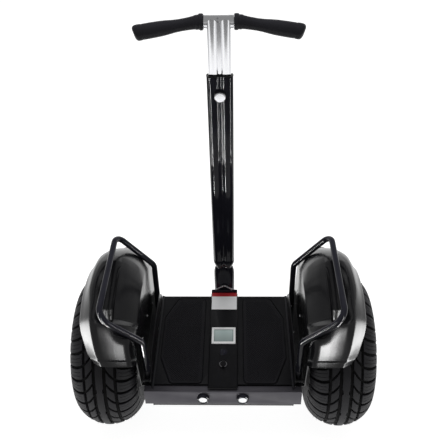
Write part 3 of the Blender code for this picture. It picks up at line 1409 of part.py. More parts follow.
def main():
    global parts, cutters
    clear_scene()
    parts = new_collection("self_balancing_scooter")
    cutters = new_collection("cutters")
    cutters.hide_render = True
    right_side = []
    right_side += make_wheel_right()
    right_side += make_axle_right()
    make_chassis()
    right_side += make_deck()
    right_side += make_rear_beam()
    make_console()
    make_inner_pieces()
    right_side.append(make_side_plate())
    right_side.append(make_fender())
    right_side.append(make_handrail())
    right_side.append(make_fender_stud())
    for piece in right_side:
        mirrored(piece)
    make_column()


main()
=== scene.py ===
"""Finish, small hardware and studio for a two-wheeled balancing scooter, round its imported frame."""

import json
import math

import bmesh
import bpy
from bpy.props import FloatProperty, FloatVectorProperty, IntProperty, PointerProperty
from bpy.types import Operator, Panel, PropertyGroup
from mathutils import Matrix, Vector


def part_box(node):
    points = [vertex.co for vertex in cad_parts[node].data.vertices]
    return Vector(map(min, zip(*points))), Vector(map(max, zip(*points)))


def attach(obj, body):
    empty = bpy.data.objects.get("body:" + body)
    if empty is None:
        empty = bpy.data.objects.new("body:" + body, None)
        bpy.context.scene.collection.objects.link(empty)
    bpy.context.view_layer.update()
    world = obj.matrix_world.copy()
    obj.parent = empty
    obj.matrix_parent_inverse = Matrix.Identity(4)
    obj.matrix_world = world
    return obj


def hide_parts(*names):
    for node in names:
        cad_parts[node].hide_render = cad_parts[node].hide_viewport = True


bl_info = {
    "name": "Balancing Scooter Finish",
    "version": (1, 0, 0),
    "blender": (4, 5, 0),
    "location": "View3D > Sidebar > Scooter",
    "description": "Dresses the packed frame of a balancing scooter with tread, trim, finishes and a studio",
    "category": "Object",
}

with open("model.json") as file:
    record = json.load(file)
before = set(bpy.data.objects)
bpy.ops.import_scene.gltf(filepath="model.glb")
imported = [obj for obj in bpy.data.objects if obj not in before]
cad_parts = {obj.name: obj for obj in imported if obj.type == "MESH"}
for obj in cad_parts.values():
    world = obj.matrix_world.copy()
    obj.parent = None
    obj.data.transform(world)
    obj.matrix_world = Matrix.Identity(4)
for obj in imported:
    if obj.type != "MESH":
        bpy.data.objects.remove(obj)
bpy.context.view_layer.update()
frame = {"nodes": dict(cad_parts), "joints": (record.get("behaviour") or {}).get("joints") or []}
NODES = frame["nodes"]
JOINTS = {joint["name"]: joint for joint in frame["joints"]}
WHEEL_CENTRE = Vector(JOINTS["wheel_right_spin"]["pos_m"])
SEAT_GAP = 0.0003


def column_frame():
    """The steering column's own axes: Z runs up the post, the origin is on the lean pivot."""
    up = Vector(JOINTS["handlebar_height"]["axis"])
    across = Vector((1.0, 0.0, 0.0))
    forward = up.cross(across)
    place = Matrix((across, forward, up)).transposed().to_4x4()
    place.translation = Vector(JOINTS["column_lean"]["pos_m"])
    return place


COLUMN = column_frame()


# Sizes and colours that a user may change

def number_of(name, description, default, **limits):
    return FloatProperty(name=name, description=description, default=default, **limits)


def size(name, description, default):
    return number_of(name, description, default, min=0.0, unit="LENGTH", precision=4)


def share_of(name, description, default):
    return number_of(name, description, default, min=0.0, max=4.0)


def colour_of(name, description, default):
    return FloatVectorProperty(
        name=name, description=description, default=default, size=3, min=0.0, max=1.0, subtype="COLOR",
    )


class TyreSizes(PropertyGroup):
    radius: size("Radius", "From the axle to the crown of the tread", 0.238)
    width: size("Width", "Over the widest part of the side walls", 0.193)
    shoulder_drop: size("Shoulder Drop", "How far the widest part lies inside the crown radius", 0.075)
    section_power: number_of("Section Power", "2 is a round section, more is squarer", 1.9)
    tread_depth: size("Tread Depth", "Depth of the grooves between the blocks", 0.007)
    pitches: IntProperty(name="Pitches", description="Blocks round the tyre", default=34, min=8, max=80)
    sweep: share_of("Sweep", "How far the cross grooves sweep round from rib to shoulder, in pitches", 2.10)
    bead_radius: size("Bead Radius", "Where the tyre seats on the rim", 0.1023)
    bead_place: size("Bead Place", "From the middle of the tyre to the rim flange", 0.0697)
    hair_length: size("Hair Length", "Longest moulding hair left on the tread", 0.0062)
    hair_density: number_of("Hair Density", "Moulding hairs on a square metre", 950.0)


class FenderSizes(PropertyGroup):
    panel_x: size("Panel Place", "From the middle of the scooter to the fender's inner panel", 0.2378)
    outer_x: size("Outer Edge", "From the middle of the scooter to the fender's outer edge", 0.4050)
    edge_radius: size("Edge Radius", "Outer edge's distance from the axle", 0.2500)
    crown_radius: size("Crown Radius", "Crown's distance from the axle", 0.3090)
    end_angle: number_of("End Angle", "Height of both ends over the axle, in degrees", 39.0)
    wall: size("Wall", "Thickness of the moulding", 0.0030)
    trough_depth: size("Trough Depth", "Depth of the finger trough under the grab rail", 0.0460)
    lip_flare: size("Lip Flare", "How far both end lips stand out", 0.0050)


class RailSizes(PropertyGroup):
    radius: size("Tube Radius", "Radius of the grab rail's tube", 0.0090)
    bend: size("Bend Radius", "Radius of the bends on the tube's centre line", 0.0360)
    boot_length: size("Boot Length", "Length of the rubber boot on each foot", 0.0400)
    boot_wall: size("Boot Wall", "Thickness of the rubber boot", 0.0014)


class PostSizes(PropertyGroup):
    lobe_radius: size("Lobe Radius", "Radius of each of the outer tube's two lobes", 0.0190)
    lobe_offset: size("Lobe Offset", "From the post's middle to the centre of a lobe", 0.0148)
    web_dip: size("Web Dip", "How far the flat web lies below the lobes", 0.0045)
    wall: size("Tube Wall", "Wall of the outer tube", 0.0047)
    inner_radius: size("Inner Lobe Radius", "Lobe radius of the sliding inner tube", 0.01385)
    tube_bottom: size("Tube Bottom", "Lower end of the outer tube above the pivot", 0.1960)
    tube_top: size("Tube Top", "Upper end of the outer tube above the pivot", 0.8720)
    knob_height: size("Knob Place", "Clamp knob above the pivot", 0.8224)
    bar_height: size("Bar Place", "Grip bar above the pivot", 1.0068)
    bar_forward: size("Bar Forward", "Grip bar in front of the post's middle", 0.0082)


class GripSizes(PropertyGroup):
    bar_radius: size("Bar Radius", "Radius of the grip bar's tube", 0.0111)
    bar_half: size("Bar Half Length", "From the middle to an end of the bar's tube", 0.1880)
    sweep: size("Bar Sweep", "How far the bar's ends sweep back", 0.0265)
    drop: size("Bar Drop", "How far the bar's ends drop", 0.0150)
    start: size("Grip Start", "From the middle to the grip's inner end", 0.0362)
    end: size("Grip End", "From the middle to the grip's outer end", 0.2020)
    sleeve_radius: size("Sleeve Radius", "Radius of the clamp sleeve on the post", 0.0159)
    sleeve_half: size("Sleeve Half Length", "Half the length of the clamp sleeve", 0.0355)


class DeckSizes(PropertyGroup):
    stud_pitch: size("Stud Pitch", "Distance between the mat's studs along a row", 0.0074)
    stud_height: size("Stud Height", "How far a stud stands off the mat", 0.0010)
    screw_radius: size("Screw Radius", "Head radius of the trim screws", 0.0034)
    bolt_radius: size("Bolt Radius", "Head radius of the hub bolts", 0.0052)
    label_half_width: size("Plate Half Width", "Half the width of the blank plate on the console", 0.0412)
    label_front: size("Plate Front", "Front edge of the blank plate", 0.1975)
    label_rear: size("Plate Rear", "Rear edge of the blank plate", 0.1215)


class FinishColours(PropertyGroup):
    tyre: colour_of("Tyre", "Rubber of the tyres", (0.0170, 0.0166, 0.0194))
    moulded: colour_of("Moulded Plastic", "Fenders and deck", (0.0075, 0.0075, 0.0088))
    gloss_paint: colour_of("Gloss Paint", "Post and grab rails", (0.0240, 0.0240, 0.0330))
    satin: colour_of("Satin Metal", "Powder-coated steel", (0.0100, 0.0100, 0.0115))
    mat: colour_of("Mat Rubber", "Foot mats", (0.0072, 0.0070, 0.0090))
    grip: colour_of("Grip Rubber", "Grips and boots", (0.0160, 0.0158, 0.0200))
    grey_paint: colour_of("Grey Paint", "Rear beam", (0.0950, 0.0910, 0.1050))
    aluminium: colour_of("Aluminium", "Inner tube, sleeve and bar", (0.8200, 0.8250, 0.8450))
    edge: colour_of("Deck Edge", "Rails along the deck", (0.0300, 0.0300, 0.0340))
    white: colour_of("White Plastic", "Frame of the display", (0.8600, 0.8650, 0.8700))
    screen: colour_of("Display", "Face of the display", (0.3700, 0.4500, 0.4400))
    plate_red: colour_of("Plate Band", "Band on the blank plate", (0.4200, 0.0240, 0.0300))


class StageSettings(PropertyGroup):
    lens: number_of("Lens", "Focal length on a 36 mm sensor", 52.44)
    pitch: number_of("Pitch", "Camera tilt below the level, in degrees", 38.477)
    yaw: number_of("Yaw", "Camera turn towards +X, in degrees", -1.8806)
    roll: number_of("Roll", "Camera roll, in degrees", -1.2782)
    place: FloatVectorProperty(
        name="Place", description="Camera position", default=(0.0408, -1.3377, 1.8100), subtype="TRANSLATION",
        unit="LENGTH",
    )
    ambient: share_of("Ambient", "Strength of the light from all round", 0.25)
    overhead: number_of("Overhead", "Power of the overhead softbox in watts", 46.0)
    front: number_of("Front", "Power of the softbox in front of the scooter in watts", 24.0)
    rear: number_of("Rear", "Power of each tall softbox beside the camera in watts", 48.0)
    side: number_of("Side", "Power of each softbox beside the scooter in watts", 5.0)
    strip: number_of("Strip", "Power of the brightest strip in watts", 54.0)


SETTINGS = {
    "scooter_tyre": TyreSizes,
    "scooter_fender": FenderSizes,
    "scooter_rail": RailSizes,
    "scooter_post": PostSizes,
    "scooter_grip": GripSizes,
    "scooter_deck": DeckSizes,
    "scooter_finish": FinishColours,
    "scooter_stage": StageSettings,
}


# Node trees written as Python

class Number:
    """A number on a wire of a node tree, so that a mask can be written as a sum."""

    def __init__(self, graph, socket):
        self.graph = graph
        self.socket = socket

    def math(self, operation, first, second=0.0):
        made = self.graph.node("ShaderNodeMath", {"operation": operation}, {0: first, 1: second})
        return Number(self.graph, made.outputs[0])

    def __add__(self, other):
        return self.math("ADD", self, other)

    __radd__ = __add__

    def __sub__(self, other):
        return self.math("SUBTRACT", self, other)

    def __rsub__(self, other):
        return self.math("SUBTRACT", other, self)

    def __mul__(self, other):
        return self.math("MULTIPLY", self, other)

    __rmul__ = __mul__

    def __truediv__(self, other):
        return self.math("DIVIDE", self, other)

    def __rtruediv__(self, other):
        return self.math("DIVIDE", other, self)

    def __pow__(self, other):
        return self.math("POWER", self, other)

    def __gt__(self, other):
        return self.math("GREATER_THAN", self, other)

    def __lt__(self, other):
        return self.math("LESS_THAN", self, other)

    def __abs__(self):
        return self.math("ABSOLUTE", self)

    def top(self, other):
        return self.math("MAXIMUM", self, other)

    def wave(self):
        return self.math("SINE", self)

    def smooth(self, low, high):
        """0 below low, 1 above high and a soft rise between."""
        made = self.graph.node(
            "ShaderNodeMapRange", {"interpolation_type": "SMOOTHSTEP"},
            {"Value": self, "From Min": low, "From Max": high},
        )
        return Number(self.graph, made.outputs["Result"])


class Graph:
    """A node tree that is filled one node at a time."""

    def __init__(self, tree):
        self.tree = tree

    def node(self, kind, settings=None, values=None):
        """A node with its settings made first, then the values or wires of its sockets."""
        made = self.tree.nodes.new(kind)
        for name, setting in (settings or {}).items():
            setattr(made, name, setting)
        for key, value in (values or {}).items():
            socket = self.input_of(made, key)
            wire = value.socket if isinstance(value, Number) else value
            if isinstance(wire, bpy.types.NodeSocket):
                self.tree.links.new(wire, socket)
            else:
                socket.default_value = wire
        return made

    @staticmethod
    def input_of(made, key):
        if isinstance(key, int):
            return made.inputs[key]
        return next(socket for socket in made.inputs if socket.name == key and socket.enabled)

    def parts(self, coordinates):
        """The three parts of a texture coordinate."""
        place = self.node("ShaderNodeTexCoord").outputs[coordinates]
        made = self.node("ShaderNodeSeparateXYZ", None, {0: place})
        return [Number(self, made.outputs[letter]) for letter in "XYZ"]


# Keeps the finishes' names apart from the solids' own materials
FINISH_PREFIX = "scooter_"


class Finish(Graph):
    """A material round one Principled shader. Patterns read the place in metres and keep their size."""

    def __init__(self, name, colour, roughness, metallic=0.0, **constants):
        material = bpy.data.materials.new(FINISH_PREFIX + name)
        material.use_nodes = True
        super().__init__(material.node_tree)
        self.shader = self.tree.nodes["Principled BSDF"]
        self.colour = (*colour, 1.0)
        self.shader.inputs["Base Color"].default_value = self.colour
        self.shader.inputs["Roughness"].default_value = roughness
        self.shader.inputs["Metallic"].default_value = metallic
        for label, value in constants.items():
            self.shader.inputs[label.replace("_", " ")].default_value = value
        self.place = self.node("ShaderNodeTexCoord").outputs["Object"]
        self.relief = None

    def axis(self, letter):
        parts = self.node("ShaderNodeSeparateXYZ", None, {0: self.place})
        return Number(self, parts.outputs[letter])

    def noise(self, scale, detail=2.0, stretch=(1.0, 1.0, 1.0), turn=(0.0, 0.0, 0.0)):
        vector = self.node("ShaderNodeMapping", None,
                           {"Vector": self.place, "Scale": stretch, "Rotation": turn})
        made = self.node(
            "ShaderNodeTexNoise", {"noise_dimensions": "3D"},
            {"Vector": vector.outputs[0], "Scale": scale, "Detail": detail, "Roughness": 0.55},
        )
        return Number(self, made.outputs[0])

    def cells(self, scale, feature="F1"):
        made = self.node("ShaderNodeTexVoronoi", {"feature": feature}, {"Vector": self.place, "Scale": scale})
        return Number(self, made.outputs["Distance"])

    def attribute(self, name):
        return Number(self, self.node("ShaderNodeAttribute", {"attribute_name": name}).outputs["Fac"])

    def mix(self, factor, first, second):
        """Feeds the base colour with a colour between two."""
        made = self.node("ShaderNodeMix", {"data_type": "RGBA"}, {"Factor": factor, "A": first, "B": second})
        result = next(socket for socket in made.outputs if socket.enabled)
        self.tree.links.new(result, self.shader.inputs["Base Color"])
        return result

    def tint(self, factor, low, high=1.0):
        """Base colour from low to high by the factor. A plain number scales the finish's own colour."""
        return self.mix(factor, self.shade(low), self.shade(high))

    def shade(self, value):
        if isinstance(value, float):
            return tuple(min(1.0, part * value) for part in self.colour[:3]) + (1.0,)
        return (*value, 1.0)

    def feed(self, label, number):
        self.tree.links.new(number.socket, self.shader.inputs[label])

    def bump(self, height, strength, distance):
        """Adds relief. Each call lies over the one before."""
        values = {"Height": height, "Strength": strength, "Distance": distance}
        if self.relief:
            values["Normal"] = self.relief
        self.relief = self.node("ShaderNodeBump", None, values).outputs["Normal"]
        self.tree.links.new(self.relief, self.shader.inputs["Normal"])


def moulded(name, colour, roughness, grain=900.0, depth=0.06, spread=0.10, **constants):
    """Moulded plastic or rubber: fine spark-eroded grain, faint flow marks and handling."""
    finish = Finish(name, colour, roughness, **constants)
    flow = finish.noise(9.0, 3.0)
    wear = finish.noise(60.0, 4.0)
    finish.tint(flow.smooth(0.30, 0.70), 0.86, 1.16)
    finish.feed("Roughness", roughness - spread / 2 + spread * wear)
    finish.bump(finish.noise(grain, 2.0), depth, 0.0004)


def painted(name, colour, roughness, metallic=0.0, peel=0.05, **constants):
    """Sprayed paint: a faint orange peel under a clear coat, with dust in the roughness."""
    finish = Finish(name, colour, roughness, metallic, **constants)
    cloud = finish.noise(6.0, 3.0)
    finish.tint(cloud.smooth(0.35, 0.65), 0.90, 1.10)
    finish.feed("Roughness", roughness * (0.80 + 0.40 * finish.noise(35.0, 5.0)))
    finish.bump(finish.noise(420.0, 1.0), peel, 0.0003)


def brushed(name, colour, roughness, stretch, turn=(0.0, 0.0, 0.0), metallic=1.0):
    """Brushed metal: long fine lines along one axis over slow changes of tone."""
    finish = Finish(name, colour, roughness, metallic)
    lines = finish.noise(1.0, 4.0, stretch, turn)
    finish.tint(lines.smooth(0.25, 0.75), 0.93, 1.05)
    finish.feed("Roughness", roughness * (0.80 + 0.40 * lines))
    finish.bump(lines, 0.02, 0.0001)


def tyre_rubber(colours):
    """Tread rubber: grooves in painted shade, block edges paler as scuffing and painted highlight, dust in
    patches.
    """
    finish = Finish("tyre_rubber", colours.tyre, 0.54, Specular_IOR_Level=0.30)
    depth = finish.attribute("depth")
    dust = finish.noise(22.0, 5.0)
    # Block edges painted paler: partly scuffing, partly a painted highlight where the edges catch the light.
    edge = depth.smooth(0.0, 0.08) * (1.0 - depth.smooth(0.10, 0.35))
    base = finish.tint(dust.smooth(0.30, 0.75) * 0.40 + edge, 0.80, 2.40)
    # Painted shade: the grooves are mixed towards near black by how deep they are cut.
    finish.mix(depth, base, finish.shade(0.10))
    finish.feed("Roughness", 0.48 + 0.16 * dust + 0.30 * depth)
    finish.bump(finish.noise(1100.0, 2.0), 0.10, 0.0004)
    finish.bump(finish.noise(160.0, 3.0), 0.08, 0.0010)


def display_face(colours):
    """The display's face: a grey-green panel with a thin dark frame line, and painted light that makes it
    lighter towards the front.
    """
    low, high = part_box("display_screen")
    middle = (low + high) / 2
    half = (high - low) / 2
    finish = Finish("display_face", colours.screen, 0.16, Coat_Weight=0.4)
    x = abs(finish.axis("X") - middle.x) / half.x
    y = abs(finish.axis("Y") - middle.y) / half.y
    line = (x.top(y) > 0.90) * (x.top(y) < 0.935)
    # Painted light: the face grows lighter towards the front.
    painted_light_fall = finish.axis("Y").smooth(low.y, high.y)
    face = finish.tint(painted_light_fall, 0.80, 1.20)
    finish.mix(line * 0.75, face, finish.shade(0.18))
    finish.bump(finish.noise(900.0, 1.0), 0.02, 0.0002)


# How far the coloured band reaches back from the plate's front edge
PLATE_BAND = 0.0175


def blank_plate(colours, front):
    """A plain printed plate: one coloured band along its front and nothing written on it."""
    finish = Finish("blank_plate", colours.white, 0.38, Coat_Weight=0.2)
    band = finish.axis("Y") > front - PLATE_BAND
    paper = finish.tint(finish.noise(40.0, 3.0), 0.92, 1.04)
    finish.mix(band, paper, (*colours.plate_red, 1.0))
    finish.bump(finish.noise(700.0, 2.0), 0.03, 0.0002)


def wound_copper():
    """Motor windings: bundles of enamelled wire seen end on, each end painted lighter in its middle, with
    painted shade between the wires.
    """
    finish = Finish("wound_copper", (0.62, 0.27, 0.12), 0.34, 0.9)
    wires = finish.cells(520.0)
    # Painted shade: darker between the wire ends, lighter at their middles.
    finish.tint(wires.smooth(0.1, 0.6), 1.15, 0.45)
    finish.bump(wires, 0.4, 0.0008)


def circuit_board():
    """A green board under lacquer, with copper tracks showing through."""
    finish = Finish("circuit_board", (0.012, 0.110, 0.045), 0.36, Coat_Weight=0.3)
    tracks = finish.cells(190.0, "DISTANCE_TO_EDGE")
    finish.tint(tracks.smooth(0.02, 0.08), (0.055, 0.215, 0.075), 1.0)
    finish.bump(tracks, 0.2, 0.0005)


def lamp_glass():
    """Clear lamp glass with fine moulded rings and a faint painted white glow."""
    low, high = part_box("lamp_lens_right")
    # The faint white emission is painted light that makes the glass look bright.
    finish = Finish(
        "lamp_glass", (0.93, 0.94, 0.95), 0.08, Transmission_Weight=0.35, IOR=1.49,
        Emission_Color=(1.0, 1.0, 1.0, 1.0), Emission_Strength=0.35,
    )
    across = (abs(finish.axis("X")) - (low.x + high.x) / 2) ** 2
    rise = (finish.axis("Z") - (low.z + high.z) / 2) ** 2
    rings = ((across + rise) ** 0.5 * 4200.0).wave()
    finish.bump(rings, 0.05, 0.0004)
    finish.feed("Roughness", 0.04 + 0.05 * finish.noise(300.0))


def make_finishes():
    """Makes every finish of the scooter."""
    colours = bpy.context.scene.scooter_finish
    post = COLUMN.to_euler()
    tyre_rubber(colours)
    moulded("fender_plastic", colours.moulded, 0.24, 1500.0, 0.006, 0.04, Specular_IOR_Level=0.50)
    moulded("deck_plastic", colours.moulded, 0.46, 700.0, 0.16, 0.12, Specular_IOR_Level=0.16)
    moulded("console_plastic", colours.moulded, 0.42, 1000.0, 0.10, 0.10, Specular_IOR_Level=0.16)
    moulded("mat_rubber", colours.mat, 0.40, 1300.0, 0.10, 0.12, Specular_IOR_Level=0.22)
    moulded("grip_rubber", colours.grip, 0.48, 1600.0, 0.16, 0.10, Specular_IOR_Level=0.25)
    painted("gloss_paint", colours.gloss_paint, 0.070, peel=0.004, Specular_IOR_Level=0.12)
    painted("satin_metal", colours.satin, 0.36, 0.1, 0.14, Specular_IOR_Level=0.35)
    painted("beam_paint", colours.grey_paint, 0.42, 0.55, 0.10)
    brushed("edge_metal", colours.edge, 0.42, (900.0, 9.0, 900.0), metallic=0.6)
    brushed("tube_aluminium", colours.aluminium, 0.12, (700.0, 700.0, 6.0), post)
    brushed("bar_aluminium", colours.aluminium, 0.22, (6.0, 700.0, 700.0))
    brushed("steel", (0.50, 0.50, 0.52), 0.32, (300.0, 300.0, 300.0))
    brushed("bright_steel", (0.78, 0.78, 0.80), 0.20, (220.0, 900.0, 220.0))
    brushed("bronze", (0.46, 0.30, 0.13), 0.40, (600.0, 60.0, 600.0))
    brushed("weld_metal", (0.66, 0.66, 0.68), 0.28, (260.0, 260.0, 260.0))
    moulded("white_plastic", colours.white, 0.34, 1200.0, 0.03, 0.06)
    moulded("battery_wrap", (0.020, 0.060, 0.200), 0.34, 140.0, 0.20, 0.12)
    display_face(colours)
    wound_copper()
    circuit_board()
    lamp_glass()
    brushed("lamp_bowl", (0.86, 0.86, 0.87), 0.12, (500.0, 500.0, 500.0))
    moulded("lamp_chip", (0.86, 0.84, 0.66), 0.40, 900.0, 0.05, 0.05)
    blank_plate(colours, bpy.context.scene.scooter_deck.label_front)


def finish_named(name):
    """The finish, made with all the others the first time that one is asked for."""
    if FINISH_PREFIX + name not in bpy.data.materials:
        make_finishes()
    return bpy.data.materials[FINISH_PREFIX + name]


# Geometry trees

HEADS_INPUTS = (
    ("Head", "NodeSocketObject", None),
    ("Scale", "NodeSocketFloat", 1.0),
    ("Seed", "NodeSocketInt", 7),
    ("Finish", "NodeSocketMaterial", None),
)
STUDS_INPUTS = (
    ("Stud Length", "NodeSocketFloat", 0.003),
    ("Stud Width", "NodeSocketFloat", 0.002),
    ("Stud Height", "NodeSocketFloat", 0.001),
    ("Finish", "NodeSocketMaterial", None),
)
HAIRS_INPUTS = (
    ("Density", "NodeSocketFloat", 900.0),
    ("Hair Length", "NodeSocketFloat", 0.005),
    ("Hair Radius", "NodeSocketFloat", 0.0004),
    ("Seed", "NodeSocketInt", 3),
    ("Finish", "NodeSocketMaterial", None),
)
RING_INPUTS = (
    ("Count", "NodeSocketInt", 17),
    ("Finish", "NodeSocketMaterial", None),
)
BEADS_INPUTS = (
    ("Bead Radius", "NodeSocketFloat", 0.002),
    ("Seed", "NodeSocketInt", 5),
    ("Finish", "NodeSocketMaterial", None),
)


def out_of(made, name):
    return next(socket for socket in made.outputs if socket.name == name and socket.enabled)


def new_tree(name, inputs):
    """An empty geometry tree with named inputs. Returns its graph, its way in and its way out."""
    tree = bpy.data.node_groups.new(name, "GeometryNodeTree")
    tree.interface.new_socket("Geometry", in_out="INPUT", socket_type="NodeSocketGeometry")
    tree.interface.new_socket("Geometry", in_out="OUTPUT", socket_type="NodeSocketGeometry")
    for label, kind, default in inputs:
        socket = tree.interface.new_socket(label, in_out="INPUT", socket_type=kind)
        if default is not None:
            socket.default_value = default
    graph = Graph(tree)
    way_in = graph.node("NodeGroupInput")
    way_out = graph.node("NodeGroupOutput")
    return graph, way_in, way_out


def close_tree(graph, way_in, way_out, points, instance, **more):
    """A real copy of the instance on every point, in the finish that the tree was given."""
    values = {"Points": points, "Instance": instance, **more}
    placed = graph.node("GeometryNodeInstanceOnPoints", None, values)
    real = graph.node("GeometryNodeRealizeInstances", None, {"Geometry": out_of(placed, "Instances")})
    coated = graph.node(
        "GeometryNodeSetMaterial", None,
        {"Geometry": out_of(real, "Geometry"), "Material": way_in.outputs["Finish"]},
    )
    graph.tree.links.new(out_of(coated, "Geometry"), way_out.inputs[0])
    return graph.tree


def random_between(graph, low, high, seed):
    made = graph.node("FunctionNodeRandomValue", {"data_type": "FLOAT"},
                      {"Min": low, "Max": high, "Seed": seed})
    return out_of(made, "Value")


def attribute_of(graph, name, kind):
    """The socket of an attribute that the points or faces carry."""
    made = graph.node("GeometryNodeInputNamedAttribute", {"data_type": kind}, {"Name": name})
    return out_of(made, "Attribute")


def turned_by(graph, rotation, by):
    """A rotation followed by another in its own directions."""
    values = {"Rotation": rotation, "Rotate By": by}
    return graph.node("FunctionNodeRotateRotation", {"rotation_space": "LOCAL"}, values).outputs[0]


def heads_tree():
    """A head on each point, its axis along the point's facing and its drive turned at random."""
    graph, way_in, way_out = new_tree("fastener_heads", HEADS_INPUTS)
    facing = attribute_of(graph, "facing", "FLOAT_VECTOR")
    lined = graph.node("FunctionNodeAlignRotationToVector", {"axis": "Z"}, {"Vector": facing})
    spin = graph.node(
        "FunctionNodeAxisAngleToRotation", None,
        {"Axis": (0.0, 0.0, 1.0), "Angle": random_between(graph, 0.0, 6.28, way_in.outputs["Seed"])},
    )
    turn = turned_by(graph, lined.outputs[0], spin.outputs[0])
    head = graph.node("GeometryNodeObjectInfo", None, {"Object": way_in.outputs["Head"]})
    scale = graph.node("ShaderNodeCombineXYZ", None, {axis: way_in.outputs["Scale"] for axis in "XYZ"})
    points = way_in.outputs["Geometry"]
    unit = out_of(head, "Geometry")
    return close_tree(graph, way_in, way_out, points, unit, Rotation=turn, Scale=scale.outputs[0])


def studs_tree():
    """A flat-topped diamond stud on each point."""
    graph, way_in, way_out = new_tree("mat_studs", STUDS_INPUTS)
    stud = graph.node(
        "GeometryNodeMeshCone", {"fill_type": "NGON"},
        {"Vertices": 4, "Radius Top": 0.45, "Radius Bottom": 1.0, "Depth": 1.0},
    )
    scale = graph.node(
        "ShaderNodeCombineXYZ", None,
        {"X": way_in.outputs["Stud Length"], "Y": way_in.outputs["Stud Width"],
         "Z": way_in.outputs["Stud Height"]},
    )
    points = way_in.outputs["Geometry"]
    return close_tree(graph, way_in, way_out, points, out_of(stud, "Mesh"), Scale=scale.outputs[0])


def hairs_tree():
    """Thin leaning hairs scattered over the faces whose "hairy" value is over a half."""
    graph, way_in, way_out = new_tree("moulding_hairs", HAIRS_INPUTS)
    hairy = attribute_of(graph, "hairy", "FLOAT")
    compare = {"data_type": "FLOAT", "operation": "GREATER_THAN"}
    chosen = graph.node("FunctionNodeCompare", compare, {"A": hairy, "B": 0.5})
    spots = graph.node(
        "GeometryNodeDistributePointsOnFaces", None,
        {"Mesh": way_in.outputs["Geometry"], "Selection": out_of(chosen, "Result"),
         "Density": way_in.outputs["Density"], "Seed": way_in.outputs["Seed"]},
    )
    tilt = graph.node(
        "FunctionNodeRandomValue", {"data_type": "FLOAT_VECTOR"},
        {"Min": (-0.6, -0.6, 0.0), "Max": (0.6, 0.6, 6.28), "Seed": way_in.outputs["Seed"]},
    )
    tilt_turn = graph.node("FunctionNodeEulerToRotation", None, {0: out_of(tilt, "Value")})
    turn = turned_by(graph, out_of(spots, "Rotation"), tilt_turn.outputs[0])
    hair = graph.node(
        "GeometryNodeMeshCone", {"fill_type": "NONE"},
        {"Vertices": 4, "Radius Top": 0.00012, "Radius Bottom": way_in.outputs["Hair Radius"],
         "Depth": way_in.outputs["Hair Length"]},
    )
    length = random_between(graph, 0.35, 1.0, way_in.outputs["Seed"])
    scale = graph.node("ShaderNodeCombineXYZ", None, {"X": 1.0, "Y": 1.0, "Z": length})
    points = out_of(spots, "Points")
    unit = out_of(hair, "Mesh")
    return close_tree(graph, way_in, way_out, points, unit, Rotation=turn, Scale=scale.outputs[0])


def beads_tree():
    """Overlapping ripples of a weld along a row of points."""
    graph, way_in, way_out = new_tree("weld_beads", BEADS_INPUTS)
    drop = graph.node("GeometryNodeMeshIcoSphere", None,
                      {"Radius": way_in.outputs["Bead Radius"], "Subdivisions": 2})
    uneven = graph.node(
        "FunctionNodeRandomValue", {"data_type": "FLOAT_VECTOR"},
        {"Min": (0.8, 0.7, 0.6), "Max": (1.3, 1.0, 1.1), "Seed": way_in.outputs["Seed"]},
    )
    points = way_in.outputs["Geometry"]
    return close_tree(graph, way_in, way_out, points, out_of(drop, "Mesh"), Scale=out_of(uneven, "Value"))


def ring_tree():
    """Copies of one unit, side by side all the way round the X axis."""
    graph, way_in, way_out = new_tree("tread_ring", RING_INPUTS)
    spots = graph.node(
        "GeometryNodeMeshLine", {"mode": "OFFSET"},
        {"Count": way_in.outputs["Count"], "Offset": (0.0, 0.0, 0.0)},
    )
    index = Number(graph, graph.node("GeometryNodeInputIndex").outputs[0])
    turn = 2 * math.pi * index / Number(graph, way_in.outputs["Count"])
    turns = graph.node("ShaderNodeCombineXYZ", None, {"X": turn})
    unit = way_in.outputs["Geometry"]
    return close_tree(graph, way_in, way_out, out_of(spots, "Mesh"), unit, Rotation=turns.outputs[0])


TREES = {
    "tread_ring": ring_tree,
    "fastener_heads": heads_tree,
    "mat_studs": studs_tree,
    "moulding_hairs": hairs_tree,
    "weld_beads": beads_tree,
}


def new_object(name, data):
    obj = bpy.data.objects.new(name, data)
    bpy.context.scene.collection.objects.link(obj)
    return obj


def evaluated_mesh(obj):
    """The object's mesh with its modifiers applied. The object is removed."""
    bpy.context.view_layer.update()
    graph = bpy.context.evaluated_depsgraph_get()
    mesh = bpy.data.meshes.new_from_object(obj.evaluated_get(graph), depsgraph=graph)
    bpy.data.objects.remove(obj, do_unlink=True)
    return mesh


def grow(name, carrier, tree_name, values):
    """Runs a geometry tree over a mesh and returns the plain mesh that comes out."""
    tree = bpy.data.node_groups.get(tree_name) or TREES[tree_name]()
    obj = new_object(name, carrier)
    modifier = obj.modifiers.new(tree_name, "NODES")
    modifier.node_group = tree
    identifiers = {item.name: item.identifier for item in tree.interface.items_tree if item.in_out == "INPUT"}
    for label, value in values.items():
        modifier[identifiers[label]] = value
    mesh = evaluated_mesh(obj)
    if not mesh.polygons:
        raise RuntimeError(f"the {tree_name} tree made nothing for {name}")
    return mesh


def points_mesh(name, points, facings=None):
    """Loose points, each with the direction it faces."""
    mesh = bpy.data.meshes.new(name)
    mesh.from_pydata([tuple(point) for point in points], [], [])
    if facings:
        attribute = mesh.attributes.new("facing", "FLOAT_VECTOR", "POINT")
        attribute.data.foreach_set("vector", [part for facing in facings for part in facing])
    return mesh


# Shapes

